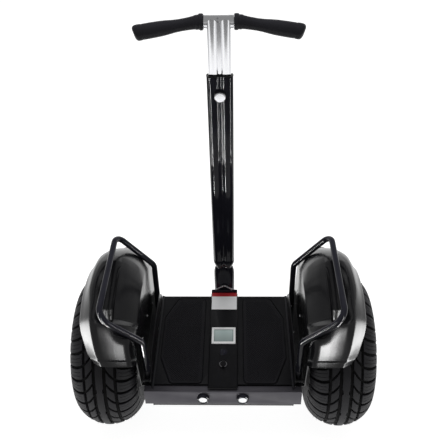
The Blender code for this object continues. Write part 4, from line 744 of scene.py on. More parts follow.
def grid_mesh(name, rows, wrap_rows=False, wrap_columns=False, caps=False, sharp=32.0):
    """A smooth-shaded surface through rows of points. Double points are merged, so a row may be a pole."""
    columns = len(rows[0])
    count = len(rows)
    faces = []
    for i in range(count if wrap_rows else count - 1):
        low = i * columns
        high = (i + 1) % count * columns
        for j in range(columns if wrap_columns else columns - 1):
            k = (j + 1) % columns
            faces.append((low + j, low + k, high + k, high + j))
    if caps:
        faces.append(tuple(range(columns)))
        faces.append(tuple(range((count - 1) * columns, count * columns)))
    mesh = bpy.data.meshes.new(name)
    mesh.from_pydata([tuple(point) for row in rows for point in row], [], faces)
    return tidy(mesh, sharp)


def shaded(mesh, sharp=32.0):
    """The mesh, smooth but for the edges sharper than the angle."""
    mesh.shade_smooth()
    mesh.set_sharp_from_angle(angle=math.radians(sharp))
    return mesh


def tidy(mesh, sharp=32.0, merge=0.00001):
    """Merged doubles, outward faces, and smooth shading up to the given angle."""
    bm = bmesh.new()
    bm.from_mesh(mesh)
    bmesh.ops.remove_doubles(bm, verts=bm.verts[:], dist=merge)
    bmesh.ops.dissolve_degenerate(bm, edges=bm.edges[:], dist=merge)
    bmesh.ops.recalc_face_normals(bm, faces=bm.faces[:])
    bm.to_mesh(mesh)
    bm.free()
    return shaded(mesh, sharp)


def joined(name, meshes):
    """One mesh that holds several."""
    bm = bmesh.new()
    for mesh in meshes:
        bm.from_mesh(mesh)
    made = bpy.data.meshes.new(name)
    bm.to_mesh(made)
    bm.free()
    return made


def mirrored(mesh, name):
    copy = mesh.copy()
    copy.name = name
    copy.transform(Matrix.Scale(-1.0, 4, (1.0, 0.0, 0.0)))
    copy.flip_normals()
    return copy


def soft_corners(profile, radius, closed=False):
    """The profile with every corner over 20 degrees rounded off."""
    points = [Vector(point) for point in profile]
    count = len(points)
    made = []
    for index, point in enumerate(points):
        if not closed and index in (0, count - 1):
            made.append(point)
            continue
        before = points[index - 1] - point
        after = points[(index + 1) % count] - point
        if before.length < 1e-7 or after.length < 1e-7 or math.pi - before.angle(after) < math.radians(20):
            made.append(point)
            continue
        first = point + before.normalized() * min(radius, 0.45 * before.length)
        last = point + after.normalized() * min(radius, 0.45 * after.length)
        for share in (0.0, 0.33, 0.67, 1.0):
            made.append(first * (1 - share) ** 2 + point * (2 * share * (1 - share)) + last * share ** 2)
    return made


AXIS_TURNS = {
    "X": Matrix.Rotation(math.pi / 2, 4, "Y"),
    "Y": Matrix.Rotation(-math.pi / 2, 4, "X"),
    "-Y": Matrix.Rotation(math.pi / 2, 4, "X"),
    "Z": Matrix.Identity(4),
}


def circle(steps):
    """(cosine, sine) of each step round a circle."""
    turns = [2 * math.pi * step / steps for step in range(steps)]
    return [(math.cos(turn), math.sin(turn)) for turn in turns]


def lathe(name, profile, centre, axis="Z", steps=48, closed=False, corner=0.0004, place=None):
    """A turned piece from (radius, height) points. place is the frame that the centre and the axis are in."""
    at = (place or Matrix.Identity(4)) @ Matrix.Translation(centre) @ AXIS_TURNS[axis]
    rows = []
    for radius, height in soft_corners(profile, corner, closed):
        rows.append([at @ Vector((radius * x, radius * y, height)) for x, y in circle(steps)])
    return grid_mesh(name, rows, wrap_rows=closed, wrap_columns=True)


def corner_arc(before, corner, after, radius, steps):
    """Points of a round bend in place of a corner."""
    to_before = before - corner
    to_after = after - corner
    half_turn = to_before.angle(to_after) / 2
    reach = min(radius / math.tan(half_turn), 0.49 * to_before.length, 0.49 * to_after.length)
    bend = reach * math.tan(half_turn)
    middle = (to_before.normalized() + to_after.normalized()).normalized()
    centre = corner + middle * (bend / math.sin(half_turn))
    start = corner + to_before.normalized() * reach - centre
    end = corner + to_after.normalized() * reach - centre
    sweep = start.angle(end)
    arc = []
    for step in range(steps + 1):
        share = step / steps
        first = math.sin((1 - share) * sweep) / math.sin(sweep)
        second = math.sin(share * sweep) / math.sin(sweep)
        arc.append(centre + start * first + end * second)
    return arc


def bent_path(points, radius, steps=12):
    points = [Vector(point) for point in points]
    path = [points[0]]
    for before, corner, after in zip(points, points[1:], points[2:]):
        path.extend(corner_arc(before, corner, after, radius, steps))
    path.append(points[-1])
    return path


def frames_along(path):
    """(point, up, side) at each point of a path, turned no more than the path itself turns."""
    tangents = []
    for index in range(len(path)):
        ahead = path[min(index + 1, len(path) - 1)]
        behind = path[max(index - 1, 0)]
        tangents.append((ahead - behind).normalized())
    up = Vector((0.0, 0.0, 1.0))
    if abs(tangents[0].dot(up)) > 0.9:
        up = Vector((0.0, 1.0, 0.0))
    frames = []
    for point, tangent in zip(path, tangents):
        up = (up - tangent * up.dot(tangent)).normalized()
        frames.append((point, up, tangent.cross(up)))
    return frames


def sweep_tube(name, path, radii, sides):
    """A round tube along a path. radii is one number or one for each point."""
    if isinstance(radii, float):
        radii = [radii] * len(path)
    rows = []
    for (point, up, side), radius in zip(frames_along(path), radii):
        rows.append([point + up * (radius * x) + side * (radius * y) for x, y in circle(sides)])
    return grid_mesh(name, rows, wrap_columns=True, caps=True)


def smooth_line(points, steps):
    """A smooth line through every point, with steps stretches between each two."""
    points = [Vector(point) for point in points]
    padded = [points[0] * 2 - points[1], *points, points[-1] * 2 - points[-2]]
    line = []
    for a, b, c, d in zip(padded, padded[1:], padded[2:], padded[3:]):
        for step in range(steps):
            t = step / steps
            line.append(0.5 * (2 * b + (c - a) * t + (2 * a - 5 * b + 4 * c - d) * t ** 2
                               + (3 * b - a - 3 * c + d) * t ** 3))
    line.append(points[-1])
    return line


def smooth_step(value, low, high):
    share = min(1.0, max(0.0, (value - low) / (high - low)))
    return share * share * (3 - 2 * share)


def read_table(table, share):
    """The values of a table at a share, in a straight line from row to row."""
    for first, second in zip(table, table[1:]):
        if second[0] >= share:
            t = (share - first[0]) / (second[0] - first[0])
            return [a + (b - a) * t for a, b in zip(first[1:], second[1:])]
    return list(table[-1][1:])


def round_edges(obj, width, segments, sharp):
    """Bevels the edges that are sharper than the angle."""
    bevel = obj.modifiers.new("rounded_edges", "BEVEL")
    bevel.width = width
    bevel.segments = segments
    bevel.limit_method = "ANGLE"
    bevel.angle_limit = math.radians(sharp)


def softened(node, width, segments=2, sharp=32.0):
    """A copy of a frame node with rounded edges that catch the light."""
    mesh = NODES[node].data.copy()
    mesh.name = f"{node}_softened"
    mesh.materials.clear()
    bm = bmesh.new()
    bm.from_mesh(mesh)
    bmesh.ops.remove_doubles(bm, verts=bm.verts[:], dist=0.00002)
    bmesh.ops.dissolve_limit(bm, angle_limit=math.radians(0.6), verts=bm.verts[:], edges=bm.edges[:])
    bm.to_mesh(mesh)
    bm.free()
    obj = new_object(mesh.name, mesh)
    round_edges(obj, width, segments, sharp)
    return shaded(evaluated_mesh(obj), sharp)


def box_mesh(name, low, high, bevel=0.0004):
    """A box with rounded edges."""
    low = Vector(low)
    high = Vector(high)
    bm = bmesh.new()
    bmesh.ops.create_cube(bm, size=1.0)
    bmesh.ops.scale(bm, vec=high - low, verts=bm.verts[:])
    bmesh.ops.translate(bm, vec=(low + high) / 2, verts=bm.verts[:])
    bmesh.ops.bevel(bm, geom=bm.edges[:], offset=bevel, segments=3, affect="EDGES", profile=0.6)
    mesh = bpy.data.meshes.new(name)
    bm.to_mesh(mesh)
    bm.free()
    return shaded(mesh)


def lit_group(name):
    """The collection of the pieces that a light shines on."""
    return bpy.data.collections.get(name) or bpy.data.collections.new(name)


def add_piece(name, mesh, finish_name, slot, body, *replaced):
    """Shows a finished mesh as a piece that rides on a body and stands for the nodes it replaces."""
    mesh.materials.clear()
    mesh.materials.append(finish_named(finish_name))
    obj = new_object(name, mesh)
    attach(obj, body)
    if replaced:
        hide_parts(*replaced)
    for group, (lit_finish, ending) in LIT_GROUPS.items():
        if finish_name == lit_finish and name.endswith(ending):
            lit_group(group).objects.link(obj)


def add_softened(name, node, width, finish_name, slot):
    """A chassis node in its own shape, with rounded edges."""
    add_piece(name, softened(node, width), finish_name, slot, "chassis", node)


def add_pair(name, mesh, finish_name, slot, bodies, replaced=None):
    """The right-hand piece and its mirrored partner. bodies holds the right and left body."""
    left = mirrored(mesh, f"{name}_left")
    for side, made, body in (("right", mesh, bodies[0]), ("left", left, bodies[1])):
        nodes = [f"{replaced}_{side}"] if replaced else []
        add_piece(f"{name}_{side}", made, finish_name, slot, body, *nodes)


# Pieces that some of the studio's lights are meant for: their finish, and the end of their names
LIT_GROUPS = {
    "painted": ("gloss_paint", ""),
    "fender_left": ("fender_plastic", "_left"),
    "fender_right": ("fender_plastic", "_right"),
}
CHASSIS = ("chassis", "chassis")
WHEELS = ("wheel_right", "wheel_left")
HANDLEBAR = ("handlebar_post", "handlebar_post")


def coat(finish_name, *nodes):
    """Gives frame nodes whose shape is kept a finish."""
    for node in nodes:
        for material_slot in NODES[node].material_slots:
            material_slot.material = finish_named(finish_name)


# Tyres

# Across half the tread from its middle: share of the half width, least cut, and share of the cross cuts kept
TREAD_ROWS = (
    (0.000, 0.00, 0.00), (0.055, 0.00, 0.00), (0.096, 0.00, 0.00), (0.105, 0.14, 0.00), (0.114, 1.00, 0.00),
    (0.150, 1.00, 0.00), (0.199, 1.00, 0.00), (0.208, 0.14, 1.00), (0.217, 0.00, 1.00), (0.280, 0.00, 1.00),
    (0.345, 0.00, 1.00), (0.409, 0.00, 1.00), (0.418, 0.14, 1.00), (0.427, 1.00, 1.00), (0.464, 1.00, 1.00),
    (0.501, 1.00, 1.00), (0.510, 0.14, 1.00), (0.519, 0.00, 1.00), (0.575, 0.00, 1.00), (0.640, 0.00, 1.00),
    (0.705, 0.00, 1.00), (0.770, 0.00, 1.00), (0.830, 0.00, 1.00), (0.880, 0.00, 1.00), (0.915, 0.00, 0.92),
    (0.945, 0.00, 0.80), (0.970, 0.00, 0.62), (0.988, 0.00, 0.36), (0.997, 0.00, 0.12),
)
# Along one pitch: place, cut of the grooves, cut of the sipes
TREAD_STOPS = (
    (0.000, 0.14, 0.0), (0.018, 0.00, 0.0), (0.235, 0.00, 0.0), (0.250, 0.00, 0.62), (0.265, 0.00, 0.0),
    (0.505, 0.00, 0.0), (0.520, 0.00, 0.62), (0.535, 0.00, 0.0), (0.762, 0.00, 0.0), (0.780, 0.14, 0.0),
    (0.798, 1.00, 0.0), (0.982, 1.00, 0.0),
)
# Down the side wall: share of the way from the widest point to the bead, and how far the wall stands proud
WALL_BANDS = (
    (0.05, 0.0), (0.12, 0.0), (0.15, 0.0011), (0.20, 0.0011), (0.23, 0.0), (0.40, 0.0), (0.55, 0.0),
    (0.66, 0.0), (0.69, 0.0014), (0.76, 0.0014), (0.79, 0.0), (0.90, 0.0), (0.96, 0.0),
)
SIPE_FROM = 0.53
RIB_NOTCH = 0.026
RIB_EDGE = (0.09, 0.12)
NOTCH = (0.24, 0.53)


def tyre_section(sizes, share):
    """(across, radius) and the outward direction on the tyre's outer section at a share of its half width."""
    half = sizes.width / 2
    power = sizes.section_power

    def radius(at):
        return sizes.radius - sizes.shoulder_drop * (1 - (1 - min(at, 1.0) ** power) ** (1 / power))

    near = max(share - 0.002, 0.0)
    ahead = min(share + 0.002, 1.0)
    slope = (radius(near) - radius(ahead)) / ((ahead - near) * half)
    length = math.hypot(1.0, slope)
    return (half * share, radius(share)), (slope / length, 1.0 / length)


def tread_turn(sizes, share):
    """How far the cross grooves have swept round, in pitches."""
    first_block = TREAD_ROWS[7][0]
    return sizes.sweep * (1 - (1 - max(share, first_block)) ** 3)


def unit_stops():
    """The stops of one unit of the ring: two pitches, a notch in the rib of the first, and the last stop."""
    return [(index, *stop) for index in (0, 1) for stop in TREAD_STOPS] + [(2, *TREAD_STOPS[0])]


def tread_row(sizes, share, least, kept, side):
    """The tread of one unit at a share of the half width, as points and their cut depths."""
    points = []
    cuts = []
    for index, place, groove, sipe in unit_stops():
        cut = max(least, groove * kept)
        if share > SIPE_FROM:
            cut = max(cut, sipe * kept)
        row = share
        if RIB_EDGE[0] < share < RIB_EDGE[1] and index == 0 and NOTCH[0] < place < NOTCH[1]:
            row = share - RIB_NOTCH
        (across, out), (normal_across, normal_out) = tyre_section(sizes, row)
        deep = cut * sizes.tread_depth
        angle = 2 * math.pi * (index + place + tread_turn(sizes, share)) / sizes.pitches
        radius = out - normal_out * deep
        x = side * (across - normal_across * deep)
        points.append((x, radius * math.cos(angle), radius * math.sin(angle)))
        cuts.append(cut)
    return points, cuts


def wall_rings(sizes):
    """(across, radius) from the shoulder down the outer wall, round the bead and up inside the tyre."""
    half = sizes.width / 2
    widest = sizes.radius - sizes.shoulder_drop
    flange_top = sizes.bead_radius + 0.0128
    bead = sizes.bead_place
    wall = [(half, widest), (half - 0.0030, widest - 0.0150), (half - 0.0100, widest - 0.0300),
            (bead, flange_top)]
    line = smooth_line([(across, radius, 0.0) for across, radius in wall], 24)
    rings = []
    for share, proud in WALL_BANDS:
        point = line[round(share * (len(line) - 1))]
        ahead = line[min(round(share * (len(line) - 1)) + 1, len(line) - 1)]
        along = (ahead - point).normalized()
        rings.append((point.x - along.y * proud, point.y + along.x * proud))
    inside = sizes.tread_depth + 0.0055
    return rings + [
        (bead, flange_top), (bead, sizes.bead_radius), (bead - 0.013, sizes.bead_radius),
        (bead - 0.009, flange_top + 0.004), (half - inside + 0.002, widest - 0.012),
        (0.62 * half, sizes.radius - 0.24 * sizes.shoulder_drop - inside),
    ]


def plain_row(sizes, across, radius):
    points = []
    for index, place, _, _ in unit_stops():
        angle = 2 * math.pi * (index + place + sizes.sweep) / sizes.pitches
        points.append((across, radius * math.cos(angle), radius * math.sin(angle)))
    return points, [0.30] * len(points)


def tyre_unit(sizes):
    """Two pitches of the tyre, with how deep each point is cut and where hairs grow."""
    rows = [tread_row(sizes, *row, -1) for row in TREAD_ROWS[:0:-1]]
    rows += [tread_row(sizes, *row, 1) for row in TREAD_ROWS]
    treads = len(rows)
    walls = wall_rings(sizes)
    rows += [plain_row(sizes, across, radius) for across, radius in walls]
    rows += [plain_row(sizes, -across, radius) for across, radius in walls[::-1]]
    columns = len(rows[0][0])
    mesh = bpy.data.meshes.new("tyre_unit")
    faces = []
    for i in range(len(rows)):
        low = i * columns
        high = (i + 1) % len(rows) * columns
        faces += [(low + j, low + j + 1, high + j + 1, high + j) for j in range(columns - 1)]
    mesh.from_pydata([point for points, _ in rows for point in points], [], faces)
    depth = mesh.attributes.new("depth", "FLOAT", "POINT")
    depth.data.foreach_set("value", [cut for _, cuts in rows for cut in cuts])
    hairy = mesh.attributes.new("hairy", "FLOAT", "POINT")
    values = []
    for index, (_, cuts) in enumerate(rows):
        values += [1.0 if index < treads and cut < 0.05 else 0.0 for cut in cuts]
    hairy.data.foreach_set("value", values)
    return mesh


class SCOOTER_OT_tyres(Operator):
    """Moulds both tyres with ribs, blocks, sipes and side walls, and leaves the moulding hairs on them"""
    bl_idname = "scooter.tyres"
    bl_label = "Tyres"

    def execute(self, context):
        sizes = context.scene.scooter_tyre
        ring = grow("tyre", tyre_unit(sizes), "tread_ring", {
            "Count": sizes.pitches // 2, "Finish": finish_named("tyre_rubber"),
        })
        mesh = tidy(ring, 26.0, 0.00002)
        hairs = grow("tyre_hairs", mesh.copy(), "moulding_hairs", {
            "Density": sizes.hair_density, "Hair Length": sizes.hair_length, "Hair Radius": 0.00045,
            "Seed": 11, "Finish": finish_named("tyre_rubber"),
        })
        for made in (mesh, hairs):
            made.transform(Matrix.Translation(WHEEL_CENTRE))
        add_pair("tyre_tread", mesh, "tyre_rubber", "tyre_rubber", WHEELS, "tyre")
        add_pair("tyre_hairs", hairs, "grip_rubber", "tyre_rubber", WHEELS)
        return {"FINISHED"}


# Rims, hub covers and axles

HUB_WEB = 0.044
HUB_EDGE = 0.086
HUB_BOSS = 0.032
COVER_THICKNESS = 0.006
COVER_BORE = 0.0238


class SCOOTER_OT_hubs(Operator):
    """Turns both rims and the hub motor's covers, and sets the cover bolts and the tyre valve"""
    bl_idname = "scooter.hubs"
    bl_label = "Rims and Hubs"

    def execute(self, context):
        centre = WHEEL_CENTRE
        half = 0.074
        rim = [
            (0.1136, half), (0.1136, half - 0.004), (0.1016, half - 0.004), (0.0946, half - 0.030),
            (0.0946, 0.030 - half), (0.1016, 0.004 - half), (0.1136, 0.004 - half), (0.1136, -half),
            (0.0976, -half), (0.0886, -HUB_WEB), (0.0770, -HUB_WEB), (0.0770, HUB_WEB),
            (0.0886, HUB_WEB), (0.0976, half),
        ]
        mesh = lathe("rim", rim, centre, "X", 72, True, 0.0012)
        add_pair("rim_turned", mesh, "satin_metal", "satin_black_metal", WHEELS, "rim")
        inner = HUB_WEB + SEAT_GAP
        outer = inner + COVER_THICKNESS
        boss = outer + 0.014
        cover = [
            (0.0, boss), (HUB_BOSS - 0.012, boss), (HUB_BOSS - 0.0125, boss - 0.0012),
            (HUB_BOSS - 0.006, boss - 0.0012), (HUB_BOSS - 0.005, boss), (HUB_BOSS - 0.003, boss),
            (HUB_BOSS, boss - 0.004), (HUB_BOSS + 0.007, outer), (HUB_EDGE - 0.022, outer),
            (HUB_EDGE - 0.021, outer - 0.0010), (HUB_EDGE - 0.003, outer - 0.0010),
            (HUB_EDGE, outer - 0.0010), (HUB_EDGE, inner), (COVER_BORE, inner), (COVER_BORE, inner + 0.0123),
            (0.0, inner + 0.0123),
        ]
        mesh = lathe("hub_cover_outer", cover, centre, "X", 72, False, 0.0006)
        add_pair("hub_cover_outer_turned", mesh, "satin_metal", "satin_black_metal", WHEELS,
                 "hub_cover_outer")
        cover = [
            (HUB_EDGE, -inner), (HUB_EDGE, -outer), (HUB_BOSS + 0.005, -outer), (HUB_BOSS, -outer - 0.006),
            (COVER_BORE, -outer - 0.006), (COVER_BORE, -inner),
        ]
        mesh = lathe("hub_cover_inner", cover, centre, "X", 72, True, 0.0006)
        add_pair("hub_cover_inner_turned", mesh, "satin_metal", "satin_black_metal", WHEELS,
                 "hub_cover_inner")
        self.bolts(context, outer - 0.0010)
        valve = [
            (0.0, 0.0235), (0.0030, 0.0235), (0.0030, 0.0150), (0.0036, 0.0140), (0.0040, 0.0020),
            (0.0062, 0.0), (0.0062, -0.0020), (0.0, -0.0020),
        ]
        turn = Matrix.Rotation(math.radians(24), 4, "X") @ Matrix.Translation((0.062, 0.0, 0.0950))
        at = Matrix.Translation(centre) @ turn @ Matrix.Rotation(math.radians(62), 4, "Y")
        mesh = lathe("tyre_valve", valve, (0, 0, 0), "Z", 24, False, 0.0004, at)
        add_pair("tyre_valve", mesh, "grip_rubber", "satin_black_metal", WHEELS)
        return {"FINISHED"}

    def bolts(self, context, face):
        count = 8
        radius = HUB_EDGE - 0.0115
        points = []
        for step in range(count):
            angle = 2 * math.pi * (step + 0.5) / count
            points.append(WHEEL_CENTRE + Vector((face, radius * math.cos(angle), radius * math.sin(angle))))
        bolt_radius = context.scene.scooter_deck.bolt_radius
        mesh = heads("hub_bolts", points, [(1.0, 0.0, 0.0)] * count, bolt_radius, "steel")
        add_pair("hub_bolts", mesh, "steel", "satin_black_metal", WHEELS)


def head_mesh():
    """A button-head screw of one unit radius with a hexagon socket."""
    dome = [(0.0, 0.10), (0.30, 0.10), (0.30, 0.52), (0.36, 0.56), (0.62, 0.50), (0.86, 0.32), (1.0, 0.10),
            (1.0, 0.0), (0.0, -0.02)]
    steps = 24
    rows = []
    for index, (radius, height) in enumerate(dome):
        row = []
        for step in range(steps):
            turn = 2 * math.pi * step / steps
            reach = radius
            if index in (1, 2):
                reach = radius / math.cos((turn + math.pi / 6) % (math.pi / 3) - math.pi / 6)
            row.append((reach * math.cos(turn), reach * math.sin(turn), height))
        rows.append(row)
    return grid_mesh("screw_head", rows, wrap_columns=True, sharp=35.0)


def heads(name, points, facings, radius, finish_name):
    """Screw heads of the given radius on the points."""
    head = new_object("screw_head_shape", head_mesh())
    mesh = grow(name, points_mesh(name, points, facings), "fastener_heads", {
        "Head": head, "Scale": radius, "Seed": 7, "Finish": finish_named(finish_name),
    })
    bpy.data.objects.remove(head, do_unlink=True)
    return shaded(mesh, 35.0)


# Fenders

# Across the fender from its outer edge: share of the width and the same at the rear, of the height over
# the wheel, of the height at the rear, of the pod's drop and of the trough
FENDER_PROFILE = (
    (1.000, 0.990, 0.07, 0.070, 0.00, 0.00),
    (0.950, 0.928, 0.24, 0.285, 0.00, 0.00),
    (0.913, 0.868, 0.40, 0.500, 0.00, 0.00),
    (0.885, 0.815, 0.54, 0.685, 0.00, 0.00),
    (0.855, 0.774, 0.68, 0.824, 0.00, 0.00),
    (0.815, 0.754, 0.81, 0.874, 0.00, 0.00),
    (0.730, 0.722, 0.94, 0.912, 0.00, 0.04),
    (0.655, 0.655, 0.99, 0.948, 0.10, 0.55),
    (0.600, 0.600, 1.00, 0.968, 0.30, 0.98),
    (0.500, 0.500, 1.00, 0.988, 0.32, 1.00),
    (0.415, 0.415, 0.98, 0.997, 0.34, 0.99),
    (0.375, 0.375, 0.95, 1.000, 1.00, 0.06),
    (0.362, 0.362, 0.94, 1.000, 1.00, 0.00),
    (0.250, 0.250, 0.77, 0.996, 0.92, 0.00),
    (0.110, 0.110, 0.42, 0.940, 0.85, 0.00),
    (0.015, 0.015, 0.04, 0.500, 0.50, 0.00),
)
# Over the fender: angle, pod's drop and trough as shares of the trough's depth
SUNK_TABLE = (
    (0.0, 0.00, 0.00), (71.6, 0.00, 0.00), (72.4, 0.01, 0.00), (77.0, 0.09, 0.00), (78.0, 0.11, 0.03),
    (88.0, 0.28, 0.54), (100.0, 0.36, 0.70), (107.5, 0.39, 0.60), (109.0, 0.40, 0.58), (115.0, 0.42, 0.80),
    (116.2, 0.38, 0.72), (119.6, 0.01, 0.02), (120.2, 0.00, 0.00), (180.0, 0.00, 0.00),
)
SUNK_MARKS = (71.0, 71.6, 72.4, 76.4, 77.0, 78.0, 88.0, 107.5, 108.8, 109.2, 115.0, 116.2, 119.8, 120.4)
STATION_COUNTS = (4, 2, 12, 1, 1, 2, 1, 2, 8, 14, 2, 1, 8, 3, 8, 1, 12, 2, 4)
# Where the inner panel's foot lies under each angle, as shares of the foot's length
FOOT_TABLE = (
    (39.0, 0.0000), (43.2, 0.0435), (44.5, 0.0870), (70.3, 0.2609), (72.7, 0.3913), (107.0, 0.6087),
    (115.0, 0.7391), (135.5, 0.9130), (136.8, 0.9565), (141.0, 1.0000),
)
LIP_ANGLE = 3.4
SQUARE_ANGLE = 22.0
LIP_INWARD = 0.0080
# Both ends of the hood narrow up to this angle, by shares of the width
TAPER_ANGLE = 68.0
END_TAPER = 0.24
LIP_TAPER = 0.07
# Over these angles the outer flange turns into its shape at the rear, outwards of this share of the width
REAR_ANGLES = (94.0, 114.0)
SHOULDER_SHARE = 0.7
PANEL_RADIUS = 0.2450
PANEL_FRONT_RISE = 0.0120
PANEL_BOTTOM = 0.2620
PANEL_ENDS = (0.2280, -0.1705)
FLANGE_FRONT = 0.1850
PLATE_OUTER = 0.2118


def fender_angles(sizes):
    """Stations from the front lip over the top to the rear lip."""
    first = sizes.end_angle
    last = 180.0 - first
    marks = [first, first + 0.76 * LIP_ANGLE, first + LIP_ANGLE, *SUNK_MARKS]
    marks += [last - LIP_ANGLE, last - 0.76 * LIP_ANGLE, last]
    angles = [first]
    for (low, high), count in zip(zip(marks, marks[1:]), STATION_COUNTS):
        angles += [low + (high - low) * (step + 1) / count for step in range(count)]
    return angles


def fender_row(sizes, angle, share):
    """One station of the fender: the hood from its outer edge, then the inner panel and its foot flange."""
    from_front = angle - sizes.end_angle
    from_rear = 180.0 - sizes.end_angle - angle
    from_end = min(from_front, from_rear)
    drop, trough = (part * sizes.trough_depth for part in read_table(SUNK_TABLE, angle))
    flare = sizes.lip_flare * min(1.0, max(0.0, 4.2 * (1 - from_end / LIP_ANGLE)))
    inward = LIP_INWARD * (1 - smooth_step(from_rear, 0.0, 0.45 * SQUARE_ANGLE))
    square = 1 - smooth_step(from_rear, 0.45 * SQUARE_ANGLE, SQUARE_ANGLE)
    reach = TAPER_ANGLE - sizes.end_angle
    taper = END_TAPER * (1 - smooth_step(from_end, -0.25 * reach, reach))
    taper += LIP_TAPER * (1 - smooth_step(from_end, 0.0, 1.5 * LIP_ANGLE))
    width = (sizes.outer_x - sizes.panel_x) * (1 - taper) + inward
    turn = math.radians(angle)
    centre = WHEEL_CENTRE.z
    hood = []
    wide = smooth_step(angle, *REAR_ANGLES)
    for across, across_rear, over_wheel, at_end, in_drop, in_trough in FENDER_PROFILE:
        height = over_wheel + (at_end - over_wheel) * (wide if across > SHOULDER_SHARE else square)
        sunk = drop * in_drop + trough * in_trough
        radius = sizes.edge_radius + (sizes.crown_radius - sizes.edge_radius) * height - sunk + flare
        x = sizes.panel_x - inward + width * (across + (across_rear - across) * wide)
        hood.append((x, radius * math.cos(turn), centre + radius * math.sin(turn)))
    row = smooth_line(hood, 3)
    rise = PANEL_FRONT_RISE * (1 - smooth_step(from_front, 0.0, SQUARE_ANGLE))
    panel = PANEL_RADIUS + rise
    top = Vector((sizes.panel_x, panel * math.cos(turn), centre + panel * math.sin(turn)))
    along = PANEL_ENDS[0] + (PANEL_ENDS[1] - PANEL_ENDS[0]) * share
    foot = Vector((sizes.panel_x, along, PANEL_BOTTOM))
    flange = FLANGE_FRONT + (PANEL_ENDS[1] - FLANGE_FRONT) * share
    inner = Vector((PLATE_OUTER + SEAT_GAP, flange, PANEL_BOTTOM))
    row.append(top)
    row += [top.lerp(foot, part) for part in (0.25, 0.5, 0.75, 0.96)]
    row += [foot, foot.lerp(inner, 0.12), foot.lerp(inner, 0.5), inner]
    return row


def fender_mesh(sizes):
    rows = [fender_row(sizes, angle, *read_table(FOOT_TABLE, angle)) for angle in fender_angles(sizes)]
    mesh = grid_mesh("fender_skin", rows)
    obj = new_object("fender_skin", mesh)
    middle = mesh.polygons[len(mesh.polygons) // 2]
    if middle.normal.dot(middle.center - WHEEL_CENTRE) < 0:
        mesh.flip_normals()
    shell = obj.modifiers.new("wall", "SOLIDIFY")
    shell.thickness = sizes.wall
    shell.offset = -1.0
    round_edges(obj, 0.0009, 3, 50.0)
    return shaded(evaluated_mesh(obj), 38.0)


class SCOOTER_OT_fenders(Operator):
    """Moulds both fenders with their crowned hood, pod, finger trough, flared lips and inner panel"""
    bl_idname = "scooter.fenders"
    bl_label = "Fenders"

    def execute(self, context):
        sizes = context.scene.scooter_fender
        add_pair("fender_moulding", fender_mesh(sizes), "fender_plastic", "moulded_black", CHASSIS, "fender")
        self.screws(context)
        self.studs()
        return {"FINISHED"}

    def screws(self, context):
        """Trim screws through the inner panel and its foot flange."""
        face = context.scene.scooter_fender.panel_x - context.scene.scooter_fender.wall - 0.0002
        spots = ((0.1215, 0.3630), (0.1325, 0.2920), (0.0150, 0.3590), (-0.0900, 0.3750))
        points = [Vector((face, y, z)) for y, z in spots]
        facings = [(-1.0, 0.0, 0.0)] * len(points)
        for y in (0.1500, 0.0350, -0.0980):
            points.append(Vector((0.2215, y, PANEL_BOTTOM + 0.0008)))
            facings.append((0.0, 0.0, 1.0))
        screw_radius = context.scene.scooter_deck.screw_radius
        mesh = heads("fender_screws", points, facings, screw_radius, "bright_steel")
        add_pair("fender_screws", mesh, "bright_steel", "steel", CHASSIS)

    def studs(self):
        low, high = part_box("fender_stud_right")
        middle = (low + high) / 2
        half = (high.x - low.x) / 2
        flange = 0.0085
        waist = 0.0050
        neck = half - 0.0025
        profile = [
            (0.0, half), (flange, half), (flange, neck), (waist, neck),
            (waist, -neck), (flange, -neck), (flange, -half), (0.0, -half),
        ]
        mesh = lathe("fender_stud", profile, middle, "X", 32, False, 0.0005)
        add_pair("fender_stud_turned", mesh, "satin_metal", "steel", CHASSIS, "fender_stud")


class SCOOTER_OT_handrails(Operator):
    """Bends both grab rails and pulls a rubber boot over each foot"""
    bl_idname = "scooter.handrails"
    bl_label = "Grab Rails"

    def execute(self, context):
        sizes = context.scene.scooter_rail
        leg = PLATE_OUTER + SEAT_GAP + 0.0090
        corners = [
            (leg, -0.1400, 0.2640), (leg, -0.1610, 0.4420), (0.3260, -0.1870, 0.5655),
            (0.3260, 0.1540, 0.5655), (leg, 0.1640, 0.4340), (leg, 0.1640, 0.2640),
        ]
        path = bent_path(corners, sizes.bend, 14)
        tube = sweep_tube("handrail", path, sizes.radius, 32)
        add_pair("handrail_tube", tube, "gloss_paint", "gloss_black_paint", CHASSIS, "handrail")
        boots = []
        for foot, above in ((corners[0], corners[1]), (corners[-1], corners[-2])):
            foot = Vector(foot)
            along = (Vector(above) - foot).normalized()
            radius = sizes.radius + sizes.boot_wall
            stations = ((0.0012, radius), (0.30, radius), (0.90, radius - 0.0003),
                        (1.0, sizes.radius + 0.0003))
            points = [foot + along * (share * sizes.boot_length) for share, _ in stations]
            boots.append(sweep_tube("boot", points, [wide for _, wide in stations], 32))
        add_pair("handrail_boots", joined("handrail_boots", boots), "grip_rubber", "grip_rubber", CHASSIS)
        return {"FINISHED"}


# Deck

MAT_OUTLINE = ((0.0620, -0.1660), (0.1550, -0.1660), (0.1900, -0.0720), (0.1900, 0.0900), (0.1500, 0.1760),
               (0.0620, 0.1760))


# Bare edge round the field of studs, and where its first row starts
STUD_INSET = 0.0085
STUD_START = (0.066, -0.160)
STUD_ROWS = 200
STUD_COLUMNS = 24


